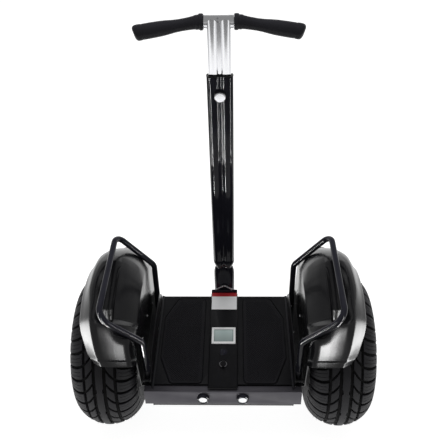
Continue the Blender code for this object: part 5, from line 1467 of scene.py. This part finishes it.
def mat_outline(grow_by, corner=0.0120, steps=6):
    """The right mat's outline, made larger or smaller all round."""
    points = [Vector((x, y, 0.0)) for x, y in MAT_OUTLINE]
    moved = []
    for index, point in enumerate(points):
        before = (point - points[index - 1]).normalized()
        after = (points[(index + 1) % len(points)] - point).normalized()
        first = Vector((before.y, -before.x, 0.0))
        second = Vector((after.y, -after.x, 0.0))
        middle = (first + second).normalized()
        moved.append(point + middle * (grow_by / max(0.2, middle.dot(first))))
    outline = []
    for index, point in enumerate(moved):
        outline += corner_arc(moved[index - 1], point, moved[(index + 1) % len(moved)],
                              max(0.002, corner + grow_by), steps)
    return outline


def inside(outline, x, y):
    """Whether a point lies inside a closed outline."""
    found = False
    for first, second in zip(outline, outline[1:] + outline[:1]):
        if (first.y > y) != (second.y > y):
            if x < first.x + (y - first.y) * (second.x - first.x) / (second.y - first.y):
                found = not found
    return found


class SCOOTER_OT_deck(Operator):
    """Finishes the deck cover and its edge rails, and moulds the studded foot mats"""
    bl_idname = "scooter.deck"
    bl_label = "Deck and Mats"

    def execute(self, context):
        sizes = context.scene.scooter_deck
        add_softened("deck_cover_moulding", "deck_cover", 0.0007, "deck_plastic", "moulded_black")
        rail = softened("deck_rail_right", 0.0008, 3)
        add_pair("deck_rail_drawn", rail, "edge_metal", "edge_aluminium", CHASSIS, "deck_rail")
        low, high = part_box("foot_mat_right")
        levels = ((0.0, low.z), (0.0, high.z - 0.0006), (-0.0006, high.z), (-0.0046, high.z),
                  (-0.0052, high.z - 0.0008))
        rows = [[Vector((point.x, point.y, z)) for point in mat_outline(grow_by)] for grow_by, z in levels]
        mat = grid_mesh("foot_mat", rows, wrap_columns=True, caps=True)
        add_pair("foot_mat_moulding", mat, "mat_rubber", "mat_rubber", CHASSIS, "foot_mat")
        field = mat_outline(-STUD_INSET)
        pitch = sizes.stud_pitch
        points = []
        for row in range(STUD_ROWS):
            y = STUD_START[1] + row * pitch * 0.5
            for column in range(STUD_COLUMNS):
                x = STUD_START[0] + (column + 0.5 * (row % 2)) * pitch
                if inside(field, x, y):
                    points.append((x, y, high.z - 0.0009))
        studs = grow("mat_studs", points_mesh("mat_studs", points), "mat_studs", {
            "Stud Length": pitch * 0.42, "Stud Width": pitch * 0.36,
            "Stud Height": sizes.stud_height + 0.0001, "Finish": finish_named("mat_rubber"),
        })
        add_pair("mat_studs", studs, "mat_rubber", "mat_rubber", CHASSIS)
        return {"FINISHED"}


# Console

class SCOOTER_OT_console(Operator):
    """Finishes the console strip, its display, button, charging socket and blank plate"""
    bl_idname = "scooter.console"
    bl_label = "Console"

    def execute(self, context):
        sizes = context.scene.scooter_deck
        add_softened("console_moulding", "console_cover", 0.0006, "console_plastic", "moulded_black")
        add_softened("display_frame", "display_bezel", 0.0005, "white_plastic", "white_plastic")
        add_softened("display_glass", "display_screen", 0.0003, "display_face", "screen_glass")
        plate_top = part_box("display_bezel")[0].z
        plate = box_mesh(
            "console_plate", (-sizes.label_half_width, sizes.label_rear, plate_top - SEAT_GAP - 0.0002),
            (sizes.label_half_width, sizes.label_front, plate_top + 0.0004), 0.0002,
        )
        add_piece("console_plate", plate, "blank_plate", "white_plastic", "chassis")
        self.button()
        self.socket()
        return {"FINISHED"}

    def button(self):
        low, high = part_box("power_button")
        middle = (low + high) / 2
        radius = (high.x - low.x) / 2
        top = high.z - middle.z
        profile = [
            (0.0, top - 0.0006), (0.30 * radius, top - 0.0005), (0.52 * radius, top - 0.0001),
            (0.62 * radius, top), (0.82 * radius, top - 0.0006), (radius, top - 0.0020),
            (radius, low.z - middle.z), (0.0, low.z - middle.z),
        ]
        mesh = lathe("power_button", profile, middle, "Z", 48, False, 0.0003)
        add_piece("power_button_cap", mesh, "gloss_paint", "bare_aluminium", "power_button", "power_button")
        rim_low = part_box("display_bezel")[0].z
        rim = [
            (radius + 0.0034, rim_low + 0.0006), (radius + 0.0030, rim_low + 0.0013),
            (radius + 0.0008, rim_low + 0.0013), (radius + 0.0006, rim_low - 0.0006),
            (radius + 0.0034, rim_low - 0.0006),
        ]
        mesh = lathe("button_rim", rim, (0.0, middle.y, 0.0), "Z", 48, True, 0.0003)
        add_piece("power_button_rim", mesh, "gloss_paint", "gloss_black_plastic", "chassis")

    def socket(self):
        low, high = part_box("charge_socket")
        middle = (low + high) / 2
        top = high.z
        base = top - 0.0018
        profile = [
            (0.0, low.z + 0.006), (0.0060, low.z + 0.006), (0.0060, top), (0.0109, top),
            (0.0115, top - 0.0006), (0.0115, base), (0.0088, base), (0.0088, low.z), (0.0, low.z),
        ]
        mesh = lathe("charge_socket", profile, (0.0, middle.y, 0.0), "Z", 48, False, 0.0003)
        add_piece("charge_socket_turned", mesh, "steel", "steel", "chassis", "charge_socket")
        low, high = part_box("charge_cap")
        disc_y = high.y - 0.0095
        top = high.z
        disc = [
            (0.0, top - 0.0004), (0.0040, top - 0.0004), (0.0044, top), (0.0062, top - 0.0002),
            (0.0087, top - 0.0009), (0.0095, top - 0.0016), (0.0095, top - 0.0030), (0.0046, top - 0.0030),
            (0.0046, top - 0.0042), (0.0, top - 0.0042),
        ]
        cap = lathe("charge_cap", disc, (0.0, disc_y, 0.0), "Z", 48, False, 0.0003)
        hinge = Vector(JOINTS["charge_cap_hinge"]["pos_m"])
        barrel = lathe("cap_barrel", [(0.0, 0.0045), (0.0014, 0.0045), (0.0014, -0.0045), (0.0, -0.0045)],
                       hinge, "X", 20, False, 0.0003)
        strap = box_mesh("cap_strap", (-0.0035, hinge.y - 0.0002, top - 0.0027),
                         (0.0035, disc_y - 0.0057, top - 0.0012), 0.0003)
        cap = joined("charge_cap", [cap, barrel, strap])
        add_piece("charge_cap_moulding", cap, "console_plastic", "moulded_black", "charge_cap", "charge_cap")


# Chassis, side plates, rear beam and lamps

class SCOOTER_OT_chassis(Operator):
    """Finishes the chassis tray, side plates and rear beam, and the pieces that they hide"""
    bl_idname = "scooter.chassis"
    bl_label = "Chassis"

    def execute(self, context):
        add_softened("chassis_tray_pressed", "chassis_tray", 0.0008, "satin_metal", "satin_black_metal")
        plate = softened("side_plate_right", 0.0006)
        add_pair("side_plate_cut", plate, "satin_metal", "satin_black_metal", CHASSIS, "side_plate")
        add_softened("rear_beam_folded", "rear_beam", 0.0005, "beam_paint", "grey_paint")
        coat("steel", "axle_left", "axle_right", "axle_clamp_left", "axle_clamp_right", "pivot_shaft",
             "pivot_housing")
        coat("steel", "bearing_inner_left", "bearing_inner_right", "bearing_outer_left",
             "bearing_outer_right")
        coat("wound_copper", "motor_stator_left", "motor_stator_right")
        coat("battery_wrap", "battery_pack")
        coat("circuit_board", "control_board")
        coat("bronze", "pivot_bush")
        coat("grip_rubber", "centring_rubber")
        return {"FINISHED"}


class SCOOTER_OT_lamps(Operator):
    """Turns both rear lamps: a glossy bezel, a bright bowl with its chip, and a ringed glass"""
    bl_idname = "scooter.lamps"
    bl_label = "Rear Lamps"

    def execute(self, context):
        low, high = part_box("lamp_bezel_right")
        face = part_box("rear_beam")[0].y
        centre = Vector(((low.x + high.x) / 2, face, (low.z + high.z) / 2))
        front = face - low.y
        radius = (high.x - low.x) / 2
        mouth = 0.0128
        pocket = front - 0.0110
        bezel = [
            (0.0, pocket), (mouth, pocket), (mouth, front - 0.0012), (mouth + 0.0008, front),
            (radius - 0.0030, front), (radius - 0.0008, front - 0.0030), (radius, SEAT_GAP),
            (0.0150, SEAT_GAP), (0.0150, -0.0130), (0.0, -0.0130),
        ]
        mesh = lathe("lamp_bezel", bezel, centre, "-Y", 56, False, 0.0006)
        add_pair("lamp_bezel_turned", mesh, "gloss_paint", "gloss_black_plastic", CHASSIS, "lamp_bezel")
        bowl = [
            (0.0, pocket + 0.0012), (0.0030, pocket + 0.0014), (0.0075, pocket + 0.0032),
            (0.0108, pocket + 0.0062), (0.0122, pocket + 0.0080), (0.0125, pocket + 0.0080),
            (0.0125, pocket + 0.0004), (0.0, pocket + 0.0004),
        ]
        mesh = lathe("lamp_bowl", bowl, centre, "-Y", 40, False, 0.0001)
        add_pair("lamp_bowl", mesh, "lamp_bowl", "steel", CHASSIS)
        chip = [(0.0, pocket + 0.0026), (0.0022, pocket + 0.0024), (0.0025, pocket + 0.0014),
                (0.0, pocket + 0.0013)]
        mesh = lathe("lamp_chip", chip, centre, "-Y", 24, False, 0.0002)
        add_pair("lamp_chip", mesh, "lamp_chip", "clear_lens", CHASSIS)
        lens = [
            (0.0, front - 0.0004), (0.0060, front - 0.0009), (0.0100, front - 0.0018),
            (0.0124, front - 0.0030), (0.0124, front - 0.0042), (0.0096, front - 0.0034),
            (0.0, front - 0.0024),
        ]
        mesh = lathe("lamp_lens", lens, centre, "-Y", 56, False, 0.0003)
        add_pair("lamp_glass", mesh, "lamp_glass", "clear_lens", CHASSIS, "lamp_lens")
        return {"FINISHED"}


# Post

# How much lower the far side of the outer tube's top is, over the tube's depth
RIM_SLANT = 0.30
# The inner tube above the pivot: its near top edge, the top at its webs, the lowest top and the lower end
TUBE_NEAR_TOP = 1.0240
TUBE_WEB_TOP = 1.0133
TUBE_FAR_TOP = 0.9990
TUBE_BOTTOM = 0.4800
TUBE_WALL = 0.0026
# The weld: the lowest that it may lie, and the post's near face from the pivot and its lean
WELD_BOTTOM = 0.2852
WELD_FACE = 0.0154
WELD_LEAN = math.radians(5.8)


def lobe_outline(sizes, radius, along, offset=None, steps=18, square=1.0):
    """The twin-lobe section at a distance along the post. square pushes its outer corners out."""
    offset = sizes.lobe_offset if offset is None else offset
    web = math.asin((radius - sizes.web_dip) / radius)
    power = 2.0 / (2.0 + 0.9 * square)
    points = []
    for side, start in ((1, -math.pi + web), (-1, web)):
        span = 2 * math.pi - 2 * web
        for step in range(2 * steps + 1):
            angle = start + span * step / (2 * steps)
            across = math.cos(angle)
            over = math.sin(angle)
            if across * side > 0:
                across = math.copysign(abs(across) ** power, across)
                over = math.copysign(abs(over) ** power, over)
            points.append(Vector((side * offset + radius * across, radius * over, along)))
    return points


def on_post(points):
    return [COLUMN @ point for point in points]


def lobe_sleeve(name, sizes, low, high, outer, inner, corner=0.0006, slants=(0.0, 0.0)):
    """A hollow twin-lobe length with softened ends. slants lower the far side of its two ends."""
    levels = (
        (outer, low + corner), (outer, high - corner), (outer - 0.3 * corner, high - 0.3 * corner),
        (outer - corner, high), (inner + corner, high), (inner, high - corner), (inner, low + corner),
        (inner + corner, low), (outer - corner, low), (outer - 0.3 * corner, low + 0.3 * corner),
    )
    rows = []
    for radius, along in levels:
        slant = slants[1] if along > (low + high) / 2 else slants[0]
        points = lobe_outline(sizes, radius, along)
        for point in points:
            point.z -= slant * (point.y + outer)
        rows.append(on_post(points))
    return grid_mesh(name, rows, wrap_rows=True, wrap_columns=True, sharp=40.0)


class SCOOTER_OT_post(Operator):
    """Draws the outer tube, its collars and foot, and the silver tube that slides in it"""
    bl_idname = "scooter.post"
    bl_label = "Post"

    def execute(self, context):
        sizes = context.scene.scooter_post
        bore = sizes.lobe_radius - sizes.wall
        tube = lobe_sleeve("outer_tube", sizes, sizes.tube_bottom, sizes.tube_top, sizes.lobe_radius, bore,
                           slants=(0.0, RIM_SLANT))
        add_piece("post_tube", tube, "gloss_paint", "gloss_black_paint", "steering_column", "outer_tube")
        low = sizes.tube_top + SEAT_GAP
        collar = lobe_sleeve("upper_collar", sizes, low, low + 0.0030, sizes.lobe_radius + 0.0005, bore,
                             0.0008, (RIM_SLANT, RIM_SLANT))
        add_piece("post_collar", collar, "console_plastic", "moulded_black", "steering_column",
                  "upper_collar")
        self.plug(sizes)
        add_piece("post_foot", softened("column_foot", 0.0005, 2, 38.0), "gloss_paint", "satin_black_metal",
                  "steering_column", "column_foot")
        self.weld()
        self.inner_tube(sizes)
        return {"FINISHED"}

    def plug(self, sizes):
        """The waisted plug in the tube's lower end."""
        levels = (
            (0.1957, 0.0186, 0.0148), (0.1953, 0.0190, 0.0148), (0.1880, 0.0188, 0.0148),
            (0.1800, 0.0181, 0.0146), (0.1740, 0.0170, 0.0144), (0.1680, 0.0156, 0.0142),
            (0.1620, 0.0141, 0.0140), (0.1563, 0.0129, 0.0138), (0.1560, 0.0100, 0.0130),
        )
        rows = []
        for along, radius, offset in levels:
            square = smooth_step(along, 0.1600, 0.1953)
            rows.append(on_post(lobe_outline(sizes, radius, along, offset, square=square)))
        mesh = grid_mesh("lower_collar", rows, wrap_columns=True, caps=True, sharp=40.0)
        add_piece("post_plug", mesh, "gloss_paint", "gloss_black_paint", "steering_column", "lower_collar")

    def weld(self):
        """The bright uneven bead where the post meets its foot plate."""
        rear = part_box("column_foot")[0].y
        pivot = COLUMN.translation
        path = (
            (-0.0262, 0.2868), (-0.0180, 0.2930), (-0.0080, 0.3010), (0.0000, 0.3050), (0.0080, 0.3010),
            (0.0170, 0.2930), (0.0235, 0.2868),
        )
        line = smooth_line([(x, 0.0, z) for x, z in path], 2)
        points = []
        for index, point in enumerate(line):
            surface = pivot.y - WELD_FACE - (point.z - pivot.z) * math.tan(WELD_LEAN)
            y = max(rear + 0.004, surface + 0.0004 * (index % 3))
            points.append((point.x, y, max(point.z, WELD_BOTTOM)))
        mesh = grow("weld_bead", points_mesh("weld_bead", points), "weld_beads", {
            "Bead Radius": 0.0033, "Seed": 5, "Finish": finish_named("weld_metal"),
        })
        mesh.shade_smooth()
        add_piece("weld_bead", mesh, "weld_metal", "steel", "steering_column")

    def inner_tube(self, sizes):
        """The brushed inner tube, cut on a slant at its top and coped under the bar's sleeve."""
        outer = sizes.inner_radius
        inner = outer - TUBE_WALL
        grip = bpy.context.scene.scooter_grip
        sleeve = grip.sleeve_radius + SEAT_GAP

        def top_at(point):
            slant = TUBE_NEAR_TOP + (point.y + outer) * (TUBE_WEB_TOP - TUBE_NEAR_TOP) / sizes.web_dip
            slant = max(TUBE_FAR_TOP, slant)
            reach = point.y - sizes.bar_forward
            if abs(reach) < sleeve:
                slant = min(slant, sizes.bar_height - math.sqrt(sleeve ** 2 - reach ** 2))
            return slant

        rows = []
        for radius, levels in ((outer, (0.0, 0.5, 0.90, 0.96, 1.0)), (inner, (1.0, 0.96, 0.90, 0.5, 0.0))):
            for level in levels:
                row = []
                for point in lobe_outline(sizes, radius, 0.0):
                    height = TUBE_BOTTOM + (top_at(point) - TUBE_BOTTOM) * level
                    row.append(Vector((point.x, point.y, height)))
                rows.append(on_post(row))
        mesh = grid_mesh("inner_tube", rows, wrap_rows=True, wrap_columns=True, sharp=40.0)
        add_piece("post_slide", mesh, "tube_aluminium", "bare_aluminium", "handlebar_post", "inner_tube")


class SCOOTER_OT_knob(Operator):
    """Turns the clamp knob with its ribbed rim and silver cap"""
    bl_idname = "scooter.knob"
    bl_label = "Clamp Knob"

    def execute(self, context):
        sizes = context.scene.scooter_post
        face = -sizes.lobe_radius - SEAT_GAP
        at = COLUMN @ Matrix.Translation((0.0, face, sizes.knob_height)) @ AXIS_TURNS["-Y"]
        ribs = 30
        rib_depth = 0.0007
        steps = ribs * 4
        profile = (
            (0.0, 0.0062, 0.0), (0.0138, 0.0062, 0.0), (0.0146, 0.0060, 0.3), (0.0150, 0.0055, 1.0),
            (0.0150, 0.0034, 1.0), (0.0146, 0.0028, 0.4), (0.0112, 0.0002, 0.0), (0.0040, 0.0, 0.0),
            (0.0040, -0.0045, 0.0), (0.0, -0.0045, 0.0),
        )
        rows = []
        for radius, height, ribbed in profile:
            row = []
            for step, (x, y) in enumerate(circle(steps)):
                turn = 2 * math.pi * step / steps
                reach = radius - rib_depth * ribbed * (0.5 + 0.5 * math.cos(ribs * turn))
                row.append(at @ Vector((reach * x, reach * y, height)))
            rows.append(row)
        mesh = grid_mesh("lock_knob", rows, wrap_columns=True, sharp=40.0)
        add_piece("knob_ribbed", mesh, "console_plastic", "moulded_black", "lock_knob", "lock_knob")
        low = 0.0062 + SEAT_GAP
        high = 0.0136
        cap = [
            (0.0, high), (0.0122, high), (0.0134, high - 0.0007), (0.0140, high - 0.0020),
            (0.0142, high - 0.0034), (0.0142, low), (0.0, low),
        ]
        mesh = lathe("lock_knob_cap", cap, (0, 0, 0), "Z", 60, False, 0.0003, at)
        add_piece("knob_disc", mesh, "bar_aluminium", "bare_aluminium", "lock_knob", "lock_knob_cap")
        return {"FINISHED"}


# Handlebar

# Along the grip from its inner end: share of the length, radius, and how far the ring leans inwards
GRIP_PROFILE = (
    (0.000, 0.0172, 0.00), (0.006, 0.0186, 0.00), (0.020, 0.0195, 0.00), (0.052, 0.0195, 0.00),
    (0.060, 0.0188, 0.00), (0.068, 0.0172, 0.00), (0.112, 0.0171, 0.00), (0.128, 0.0158, 0.00),
    (0.180, 0.0150, 0.00), (0.250, 0.0145, 0.00), (0.330, 0.0143, 0.00), (0.420, 0.0150, 0.00),
    (0.520, 0.0168, 0.00), (0.600, 0.0178, 0.00), (0.740, 0.0184, 0.00), (0.850, 0.0184, 0.00),
    (0.870, 0.0180, 0.00), (0.880, 0.0188, 0.00), (0.920, 0.0190, 0.03), (0.950, 0.0187, 0.08),
    (0.972, 0.0177, 0.12), (0.986, 0.0160, 0.15), (0.995, 0.0138, 0.18), (1.000, 0.0100, 0.20),
)


def bar_path(sizes):
    """The bar's centre line on the right, from the middle outwards, in the post's frame."""
    corners = [(0.0, 0.0, 0.0), (sizes.start + 0.012, 0.0, 0.0),
               (sizes.end + 0.004, -sizes.sweep, -sizes.drop)]
    return bent_path(corners, 0.12, 16)


def point_at(path, x):
    for first, second in zip(path, path[1:]):
        if second.x >= x:
            return first.lerp(second, (x - first.x) / (second.x - first.x))
    return path[-1]


class SCOOTER_OT_handlebar(Operator):
    """Bends the grip bar, turns its clamp sleeve and moulds both grips"""
    bl_idname = "scooter.handlebar"
    bl_label = "Grip Bar"

    def execute(self, context):
        sizes = context.scene.scooter_grip
        post = context.scene.scooter_post
        at = COLUMN @ Matrix.Translation((0.0, post.bar_forward, post.bar_height))
        right = bar_path(sizes)
        inside_points = [point for point in right[1:] if point.x < sizes.bar_half]
        inside_points.append(point_at(right, sizes.bar_half))
        left = [Vector((-point.x, point.y, point.z)) for point in reversed(inside_points)]
        path = [at @ point for point in left + inside_points]
        bar = sweep_tube("handlebar", path, sizes.bar_radius, 36)
        add_piece("grip_bar", bar, "bar_aluminium", "bare_aluminium", "handlebar_post", "handlebar")
        half = sizes.sleeve_half
        outer = sizes.sleeve_radius
        inner = sizes.bar_radius + SEAT_GAP
        sleeve = [
            (outer, half), (outer, half - 0.0120), (outer - 0.0003, half - 0.0124),
            (outer - 0.0003, 0.0124 - half), (outer, 0.0120 - half), (outer, -half), (inner, -half),
            (inner, half),
        ]
        mesh = lathe("bar_sleeve", sleeve, (0, 0, 0), "X", 72, True, 0.0006, at)
        add_piece("bar_sleeve_turned", mesh, "bar_aluminium", "bare_aluminium", "handlebar_post",
                  "bar_sleeve")
        self.screws(at, outer)
        grip = self.grip(sizes, right)
        grip.transform(at)
        add_pair("grip_moulding", grip, "grip_rubber", "grip_rubber", HANDLEBAR, "grip")
        return {"FINISHED"}

    def screws(self, at, radius):
        points = []
        facings = []
        for tilt in (-34.0, -62.0):
            turn = math.radians(tilt)
            out = Vector((0.0, math.sin(turn), math.cos(turn)))
            points.append(at @ (Vector((-0.0025, 0.0, 0.0)) + out * (radius - 0.0006)))
            facings.append(tuple(at.to_3x3() @ out))
        mesh = heads("sleeve_screws", points, facings, 0.0024, "steel")
        add_piece("sleeve_screws", mesh, "steel", "steel", "handlebar_post")

    def grip(self, sizes, path):
        length = sizes.end - sizes.start
        shares = sorted({row[0] for row in GRIP_PROFILE} | {step / 64 for step in range(65)})
        rows = []
        for share in shares:
            radius, lean = read_table(GRIP_PROFILE, share)
            along = sizes.start + share * length
            centre = point_at(path, along)
            tangent = (point_at(path, along + 0.001) - point_at(path, along - 0.001)).normalized()
            up = Vector((0, 0, 1)).cross(tangent).cross(tangent).normalized() * -1
            side = tangent.cross(up)
            row = []
            for x, y in circle(48):
                out = up * x + side * y
                rearward = 1 - (out.y + out.z) / math.sqrt(2)
                row.append(centre + out * radius - tangent * (lean * radius * rearward))
            rows.append(row)
        return grid_mesh("grip", rows, wrap_columns=True, caps=True, sharp=40.0)


# Stage

# Leaning strips that only painted pieces mirror: turn from the rider's side, width, distance, power
STRIPS = (
    ("strip_left", -68.0, 0.08, 0.62, 0.4),
    ("strip_rear_left", -35.0, 0.06, 0.56, 0.9),
    ("strip_right", 48.0, 0.06, 0.60, 0.5),
)
STRIP_LEAN = math.radians(52.0)
# Other lights: name, place, what they face, width and height, which power, share of it, who mirrors them
SOFTBOXES = (
    ("overhead", (0.0, 0.4, 3.4), (0.0, 0.0, 0.3), (2.8, 2.8), "overhead", 1.0, None),
    ("front", (0.0, 3.0, 1.7), (0.0, 0.0, 0.4), (3.4, 1.2), "front", 1.0, None),
    ("rear_left", (-0.52, -1.63, 2.06), (-0.30, -0.20, 0.42), (0.5, 1.0), "rear", 0.35, "fender_left"),
    ("side_left", (-1.05, -0.22, 0.16), (-0.30, -0.20, 0.42), (0.72, 0.32), "side", 1.0, "fender_left"),
    ("rear_right", (0.52, -1.63, 2.06), (0.30, -0.20, 0.42), (0.5, 1.0), "rear", 1.0, "fender_right"),
    ("side_right", (1.05, -0.22, 0.16), (0.30, -0.20, 0.42), (0.72, 0.32), "side", 1.0, "fender_right"),
)
STRIP_LENGTH = 1.70
# Where the white floor ends behind the rider, as the mirrored rays see it
SWEEP_END = -1.55
# Where the mirrored surroundings fade, as parts of a direction, and where the mirrored floor does, in metres
CEILING = (0.16, 0.50)
AHEAD = (0.40, 0.92)
ASIDE = (0.35, 0.65)
BESIDE = (1.3, 2.6)
# How bright they are: the darkest backdrop, what fades from it, and the floor as seen and as mirrored
BACKDROP = 0.25
CEILING_LOSS = 0.88
ASIDE_LOSS = 0.8
FLOOR_SEEN = 0.93
FLOOR_MIRRORED = 0.96
BESIDE_LOSS = 0.80


class SCOOTER_OT_stage(Operator):
    """Sets the floor, the soft lights, the surroundings and the camera"""
    bl_idname = "scooter.stage"
    bl_label = "Studio"

    def execute(self, context):
        settings = context.scene.scooter_stage
        self.floor()
        self.surroundings(settings)
        for name, place, target, shape, power, share, group in SOFTBOXES:
            self.softbox(name, place, target, shape, getattr(settings, power) * share, group)
        for name, turn, width, reach, power in STRIPS:
            away = Vector((math.sin(math.radians(turn)), -math.cos(math.radians(turn)), 0.0))
            bottom = Vector((0.0, COLUMN.translation.y - 0.1, 0.0)) + away * reach
            along = away * math.cos(STRIP_LEAN) + Vector((0.0, 0.0, math.sin(STRIP_LEAN)))
            facing = Vector((0.0, 0.0, math.cos(STRIP_LEAN))) - away * math.sin(STRIP_LEAN)
            place = bottom + along * (STRIP_LENGTH / 2)
            shape = width, STRIP_LENGTH
            self.softbox(name, place, place + facing, shape, settings.strip * power, "painted")
        self.camera(context, settings)
        context.scene.view_settings.view_transform = "Standard"
        return {"FINISHED"}

    def floor(self):
        bm = bmesh.new()
        bmesh.ops.create_grid(bm, x_segments=1, y_segments=1, size=9.0)
        mesh = bpy.data.meshes.new("studio_floor")
        bm.to_mesh(mesh)
        bm.free()
        mesh.transform(Matrix.Translation((0.0, 0.0, -0.0004)))
        floor = new_object("studio_floor", mesh)
        material = bpy.data.materials.new("studio_floor")
        material.use_nodes = True
        graph = Graph(material.node_tree)
        shader = graph.tree.nodes["Principled BSDF"]
        shader.inputs["Base Color"].default_value = (0.45, 0.45, 0.45, 1.0)
        shader.inputs["Roughness"].default_value = 0.9
        shader.inputs["Specular IOR Level"].default_value = 0.0
        across, along, _ = graph.parts("Object")
        paper = along.smooth(SWEEP_END - 0.05, SWEEP_END + 0.05)
        beside = abs(across).smooth(*BESIDE)
        seen, mirrored_rays = self.pale_rays(graph)
        strength = (seen * FLOOR_SEEN).top(mirrored_rays * paper * (FLOOR_MIRRORED - BESIDE_LOSS * beside))
        glow = graph.node("ShaderNodeEmission", None, {"Color": (1.0, 1.0, 1.0, 1.0), "Strength": strength})
        both = graph.node("ShaderNodeAddShader", None, {0: shader.outputs[0], 1: glow.outputs[0]})
        graph.tree.links.new(both.outputs[0], graph.tree.nodes["Material Output"].inputs["Surface"])
        mesh.materials.append(material)

    def pale_rays(self, graph):
        """1 for the rays that see the background, straight or through glass, and 1 for mirrored ones."""
        path = graph.node("ShaderNodeLightPath")
        names = ("Is Camera Ray", "Is Transmission Ray", "Is Glossy Ray")
        straight, through, mirrored_rays = (Number(graph, path.outputs[name]) for name in names)
        return straight.top(through), mirrored_rays

    def surroundings(self, settings):
        world = bpy.data.worlds.new("studio")
        bpy.context.scene.world = world
        world.use_nodes = True
        graph = Graph(world.node_tree)
        across, along, upwards = graph.parts("Generated")
        ceiling = upwards.smooth(*CEILING)
        ahead = along.smooth(*AHEAD)
        aside = abs(across).smooth(*ASIDE)
        seen, mirrored_rays = self.pale_rays(graph)
        backdrop = BACKDROP + (1.0 - BACKDROP) * ahead * (1.0 - ASIDE_LOSS * aside)
        mirrored_part = mirrored_rays * (1.0 - CEILING_LOSS * ceiling) * backdrop
        strength = seen.top(mirrored_part) * (1.0 - settings.ambient) + settings.ambient
        background = graph.tree.nodes["Background"]
        background.inputs["Color"].default_value = (1.0, 1.0, 1.0, 1.0)
        graph.tree.links.new(strength.socket, background.inputs["Strength"])

    def softbox(self, name, place, target, shape, power, group):
        """A rectangular light that only its group mirrors. Without a group nothing mirrors it."""
        light = bpy.data.lights.new(name, "AREA")
        light.shape = "RECTANGLE"
        light.size, light.size_y = shape
        light.energy = power
        obj = new_object(name, light)
        obj.location = place
        obj.rotation_euler = (Vector(target) - Vector(place)).to_track_quat("-Z", "Y").to_euler()
        obj.visible_camera = False
        obj.visible_diffuse = not group
        obj.visible_glossy = bool(group)
        if group:
            obj.light_linking.receiver_collection = lit_group(group)

    def camera(self, context, settings):
        pitch, yaw, roll = (math.radians(angle) for angle in (settings.pitch, settings.yaw, settings.roll))
        forward = Vector((math.sin(yaw) * math.cos(pitch), math.cos(yaw) * math.cos(pitch), -math.sin(pitch)))
        level = Vector((math.cos(yaw), -math.sin(yaw), 0.0))
        upright = level.cross(forward)
        right = level * math.cos(roll) + upright * math.sin(roll)
        up = upright * math.cos(roll) - level * math.sin(roll)
        camera = bpy.data.cameras.new("photo_camera")
        camera.lens = settings.lens
        camera.sensor_width = 36.0
        obj = new_object("photo_camera", camera)
        place = Matrix((right, up, -forward)).transposed().to_4x4()
        place.translation = Vector(settings.place)
        obj.matrix_world = place
        context.scene.camera = obj


OPERATORS = (
    SCOOTER_OT_stage, SCOOTER_OT_chassis, SCOOTER_OT_lamps, SCOOTER_OT_deck, SCOOTER_OT_console,
    SCOOTER_OT_tyres, SCOOTER_OT_hubs, SCOOTER_OT_fenders, SCOOTER_OT_handrails, SCOOTER_OT_post,
    SCOOTER_OT_knob, SCOOTER_OT_handlebar,
)


class SCOOTER_PT_finish(Panel):
    """Lists the steps that dress the scooter, with their sizes"""
    bl_idname = "SCOOTER_PT_finish"
    bl_label = "Scooter Finish"
    bl_space_type = "VIEW_3D"
    bl_region_type = "UI"
    bl_category = "Scooter"

    def draw(self, context):
        column = self.layout.column(align=True)
        for operator in OPERATORS:
            column.operator(operator.bl_idname)
        for name, group in SETTINGS.items():
            box = self.layout.box()
            box.label(text=group.__name__)
            for label in group.__annotations__:
                box.prop(getattr(context.scene, name), label)


def register():
    for group in SETTINGS.values():
        bpy.utils.register_class(group)
    for name, group in SETTINGS.items():
        setattr(bpy.types.Scene, name, PointerProperty(type=group))
    for operator in OPERATORS:
        bpy.utils.register_class(operator)
    bpy.utils.register_class(SCOOTER_PT_finish)


def unregister():
    bpy.utils.unregister_class(SCOOTER_PT_finish)
    for operator in reversed(OPERATORS):
        bpy.utils.unregister_class(operator)
    for name, group in SETTINGS.items():
        delattr(bpy.types.Scene, name)
        bpy.utils.unregister_class(group)


def main():
    register()
    make_finishes()
    for operator in OPERATORS:
        group, step = operator.bl_idname.split(".")
        getattr(getattr(bpy.ops, group), step)()


if __name__ == "__main__":
    main()
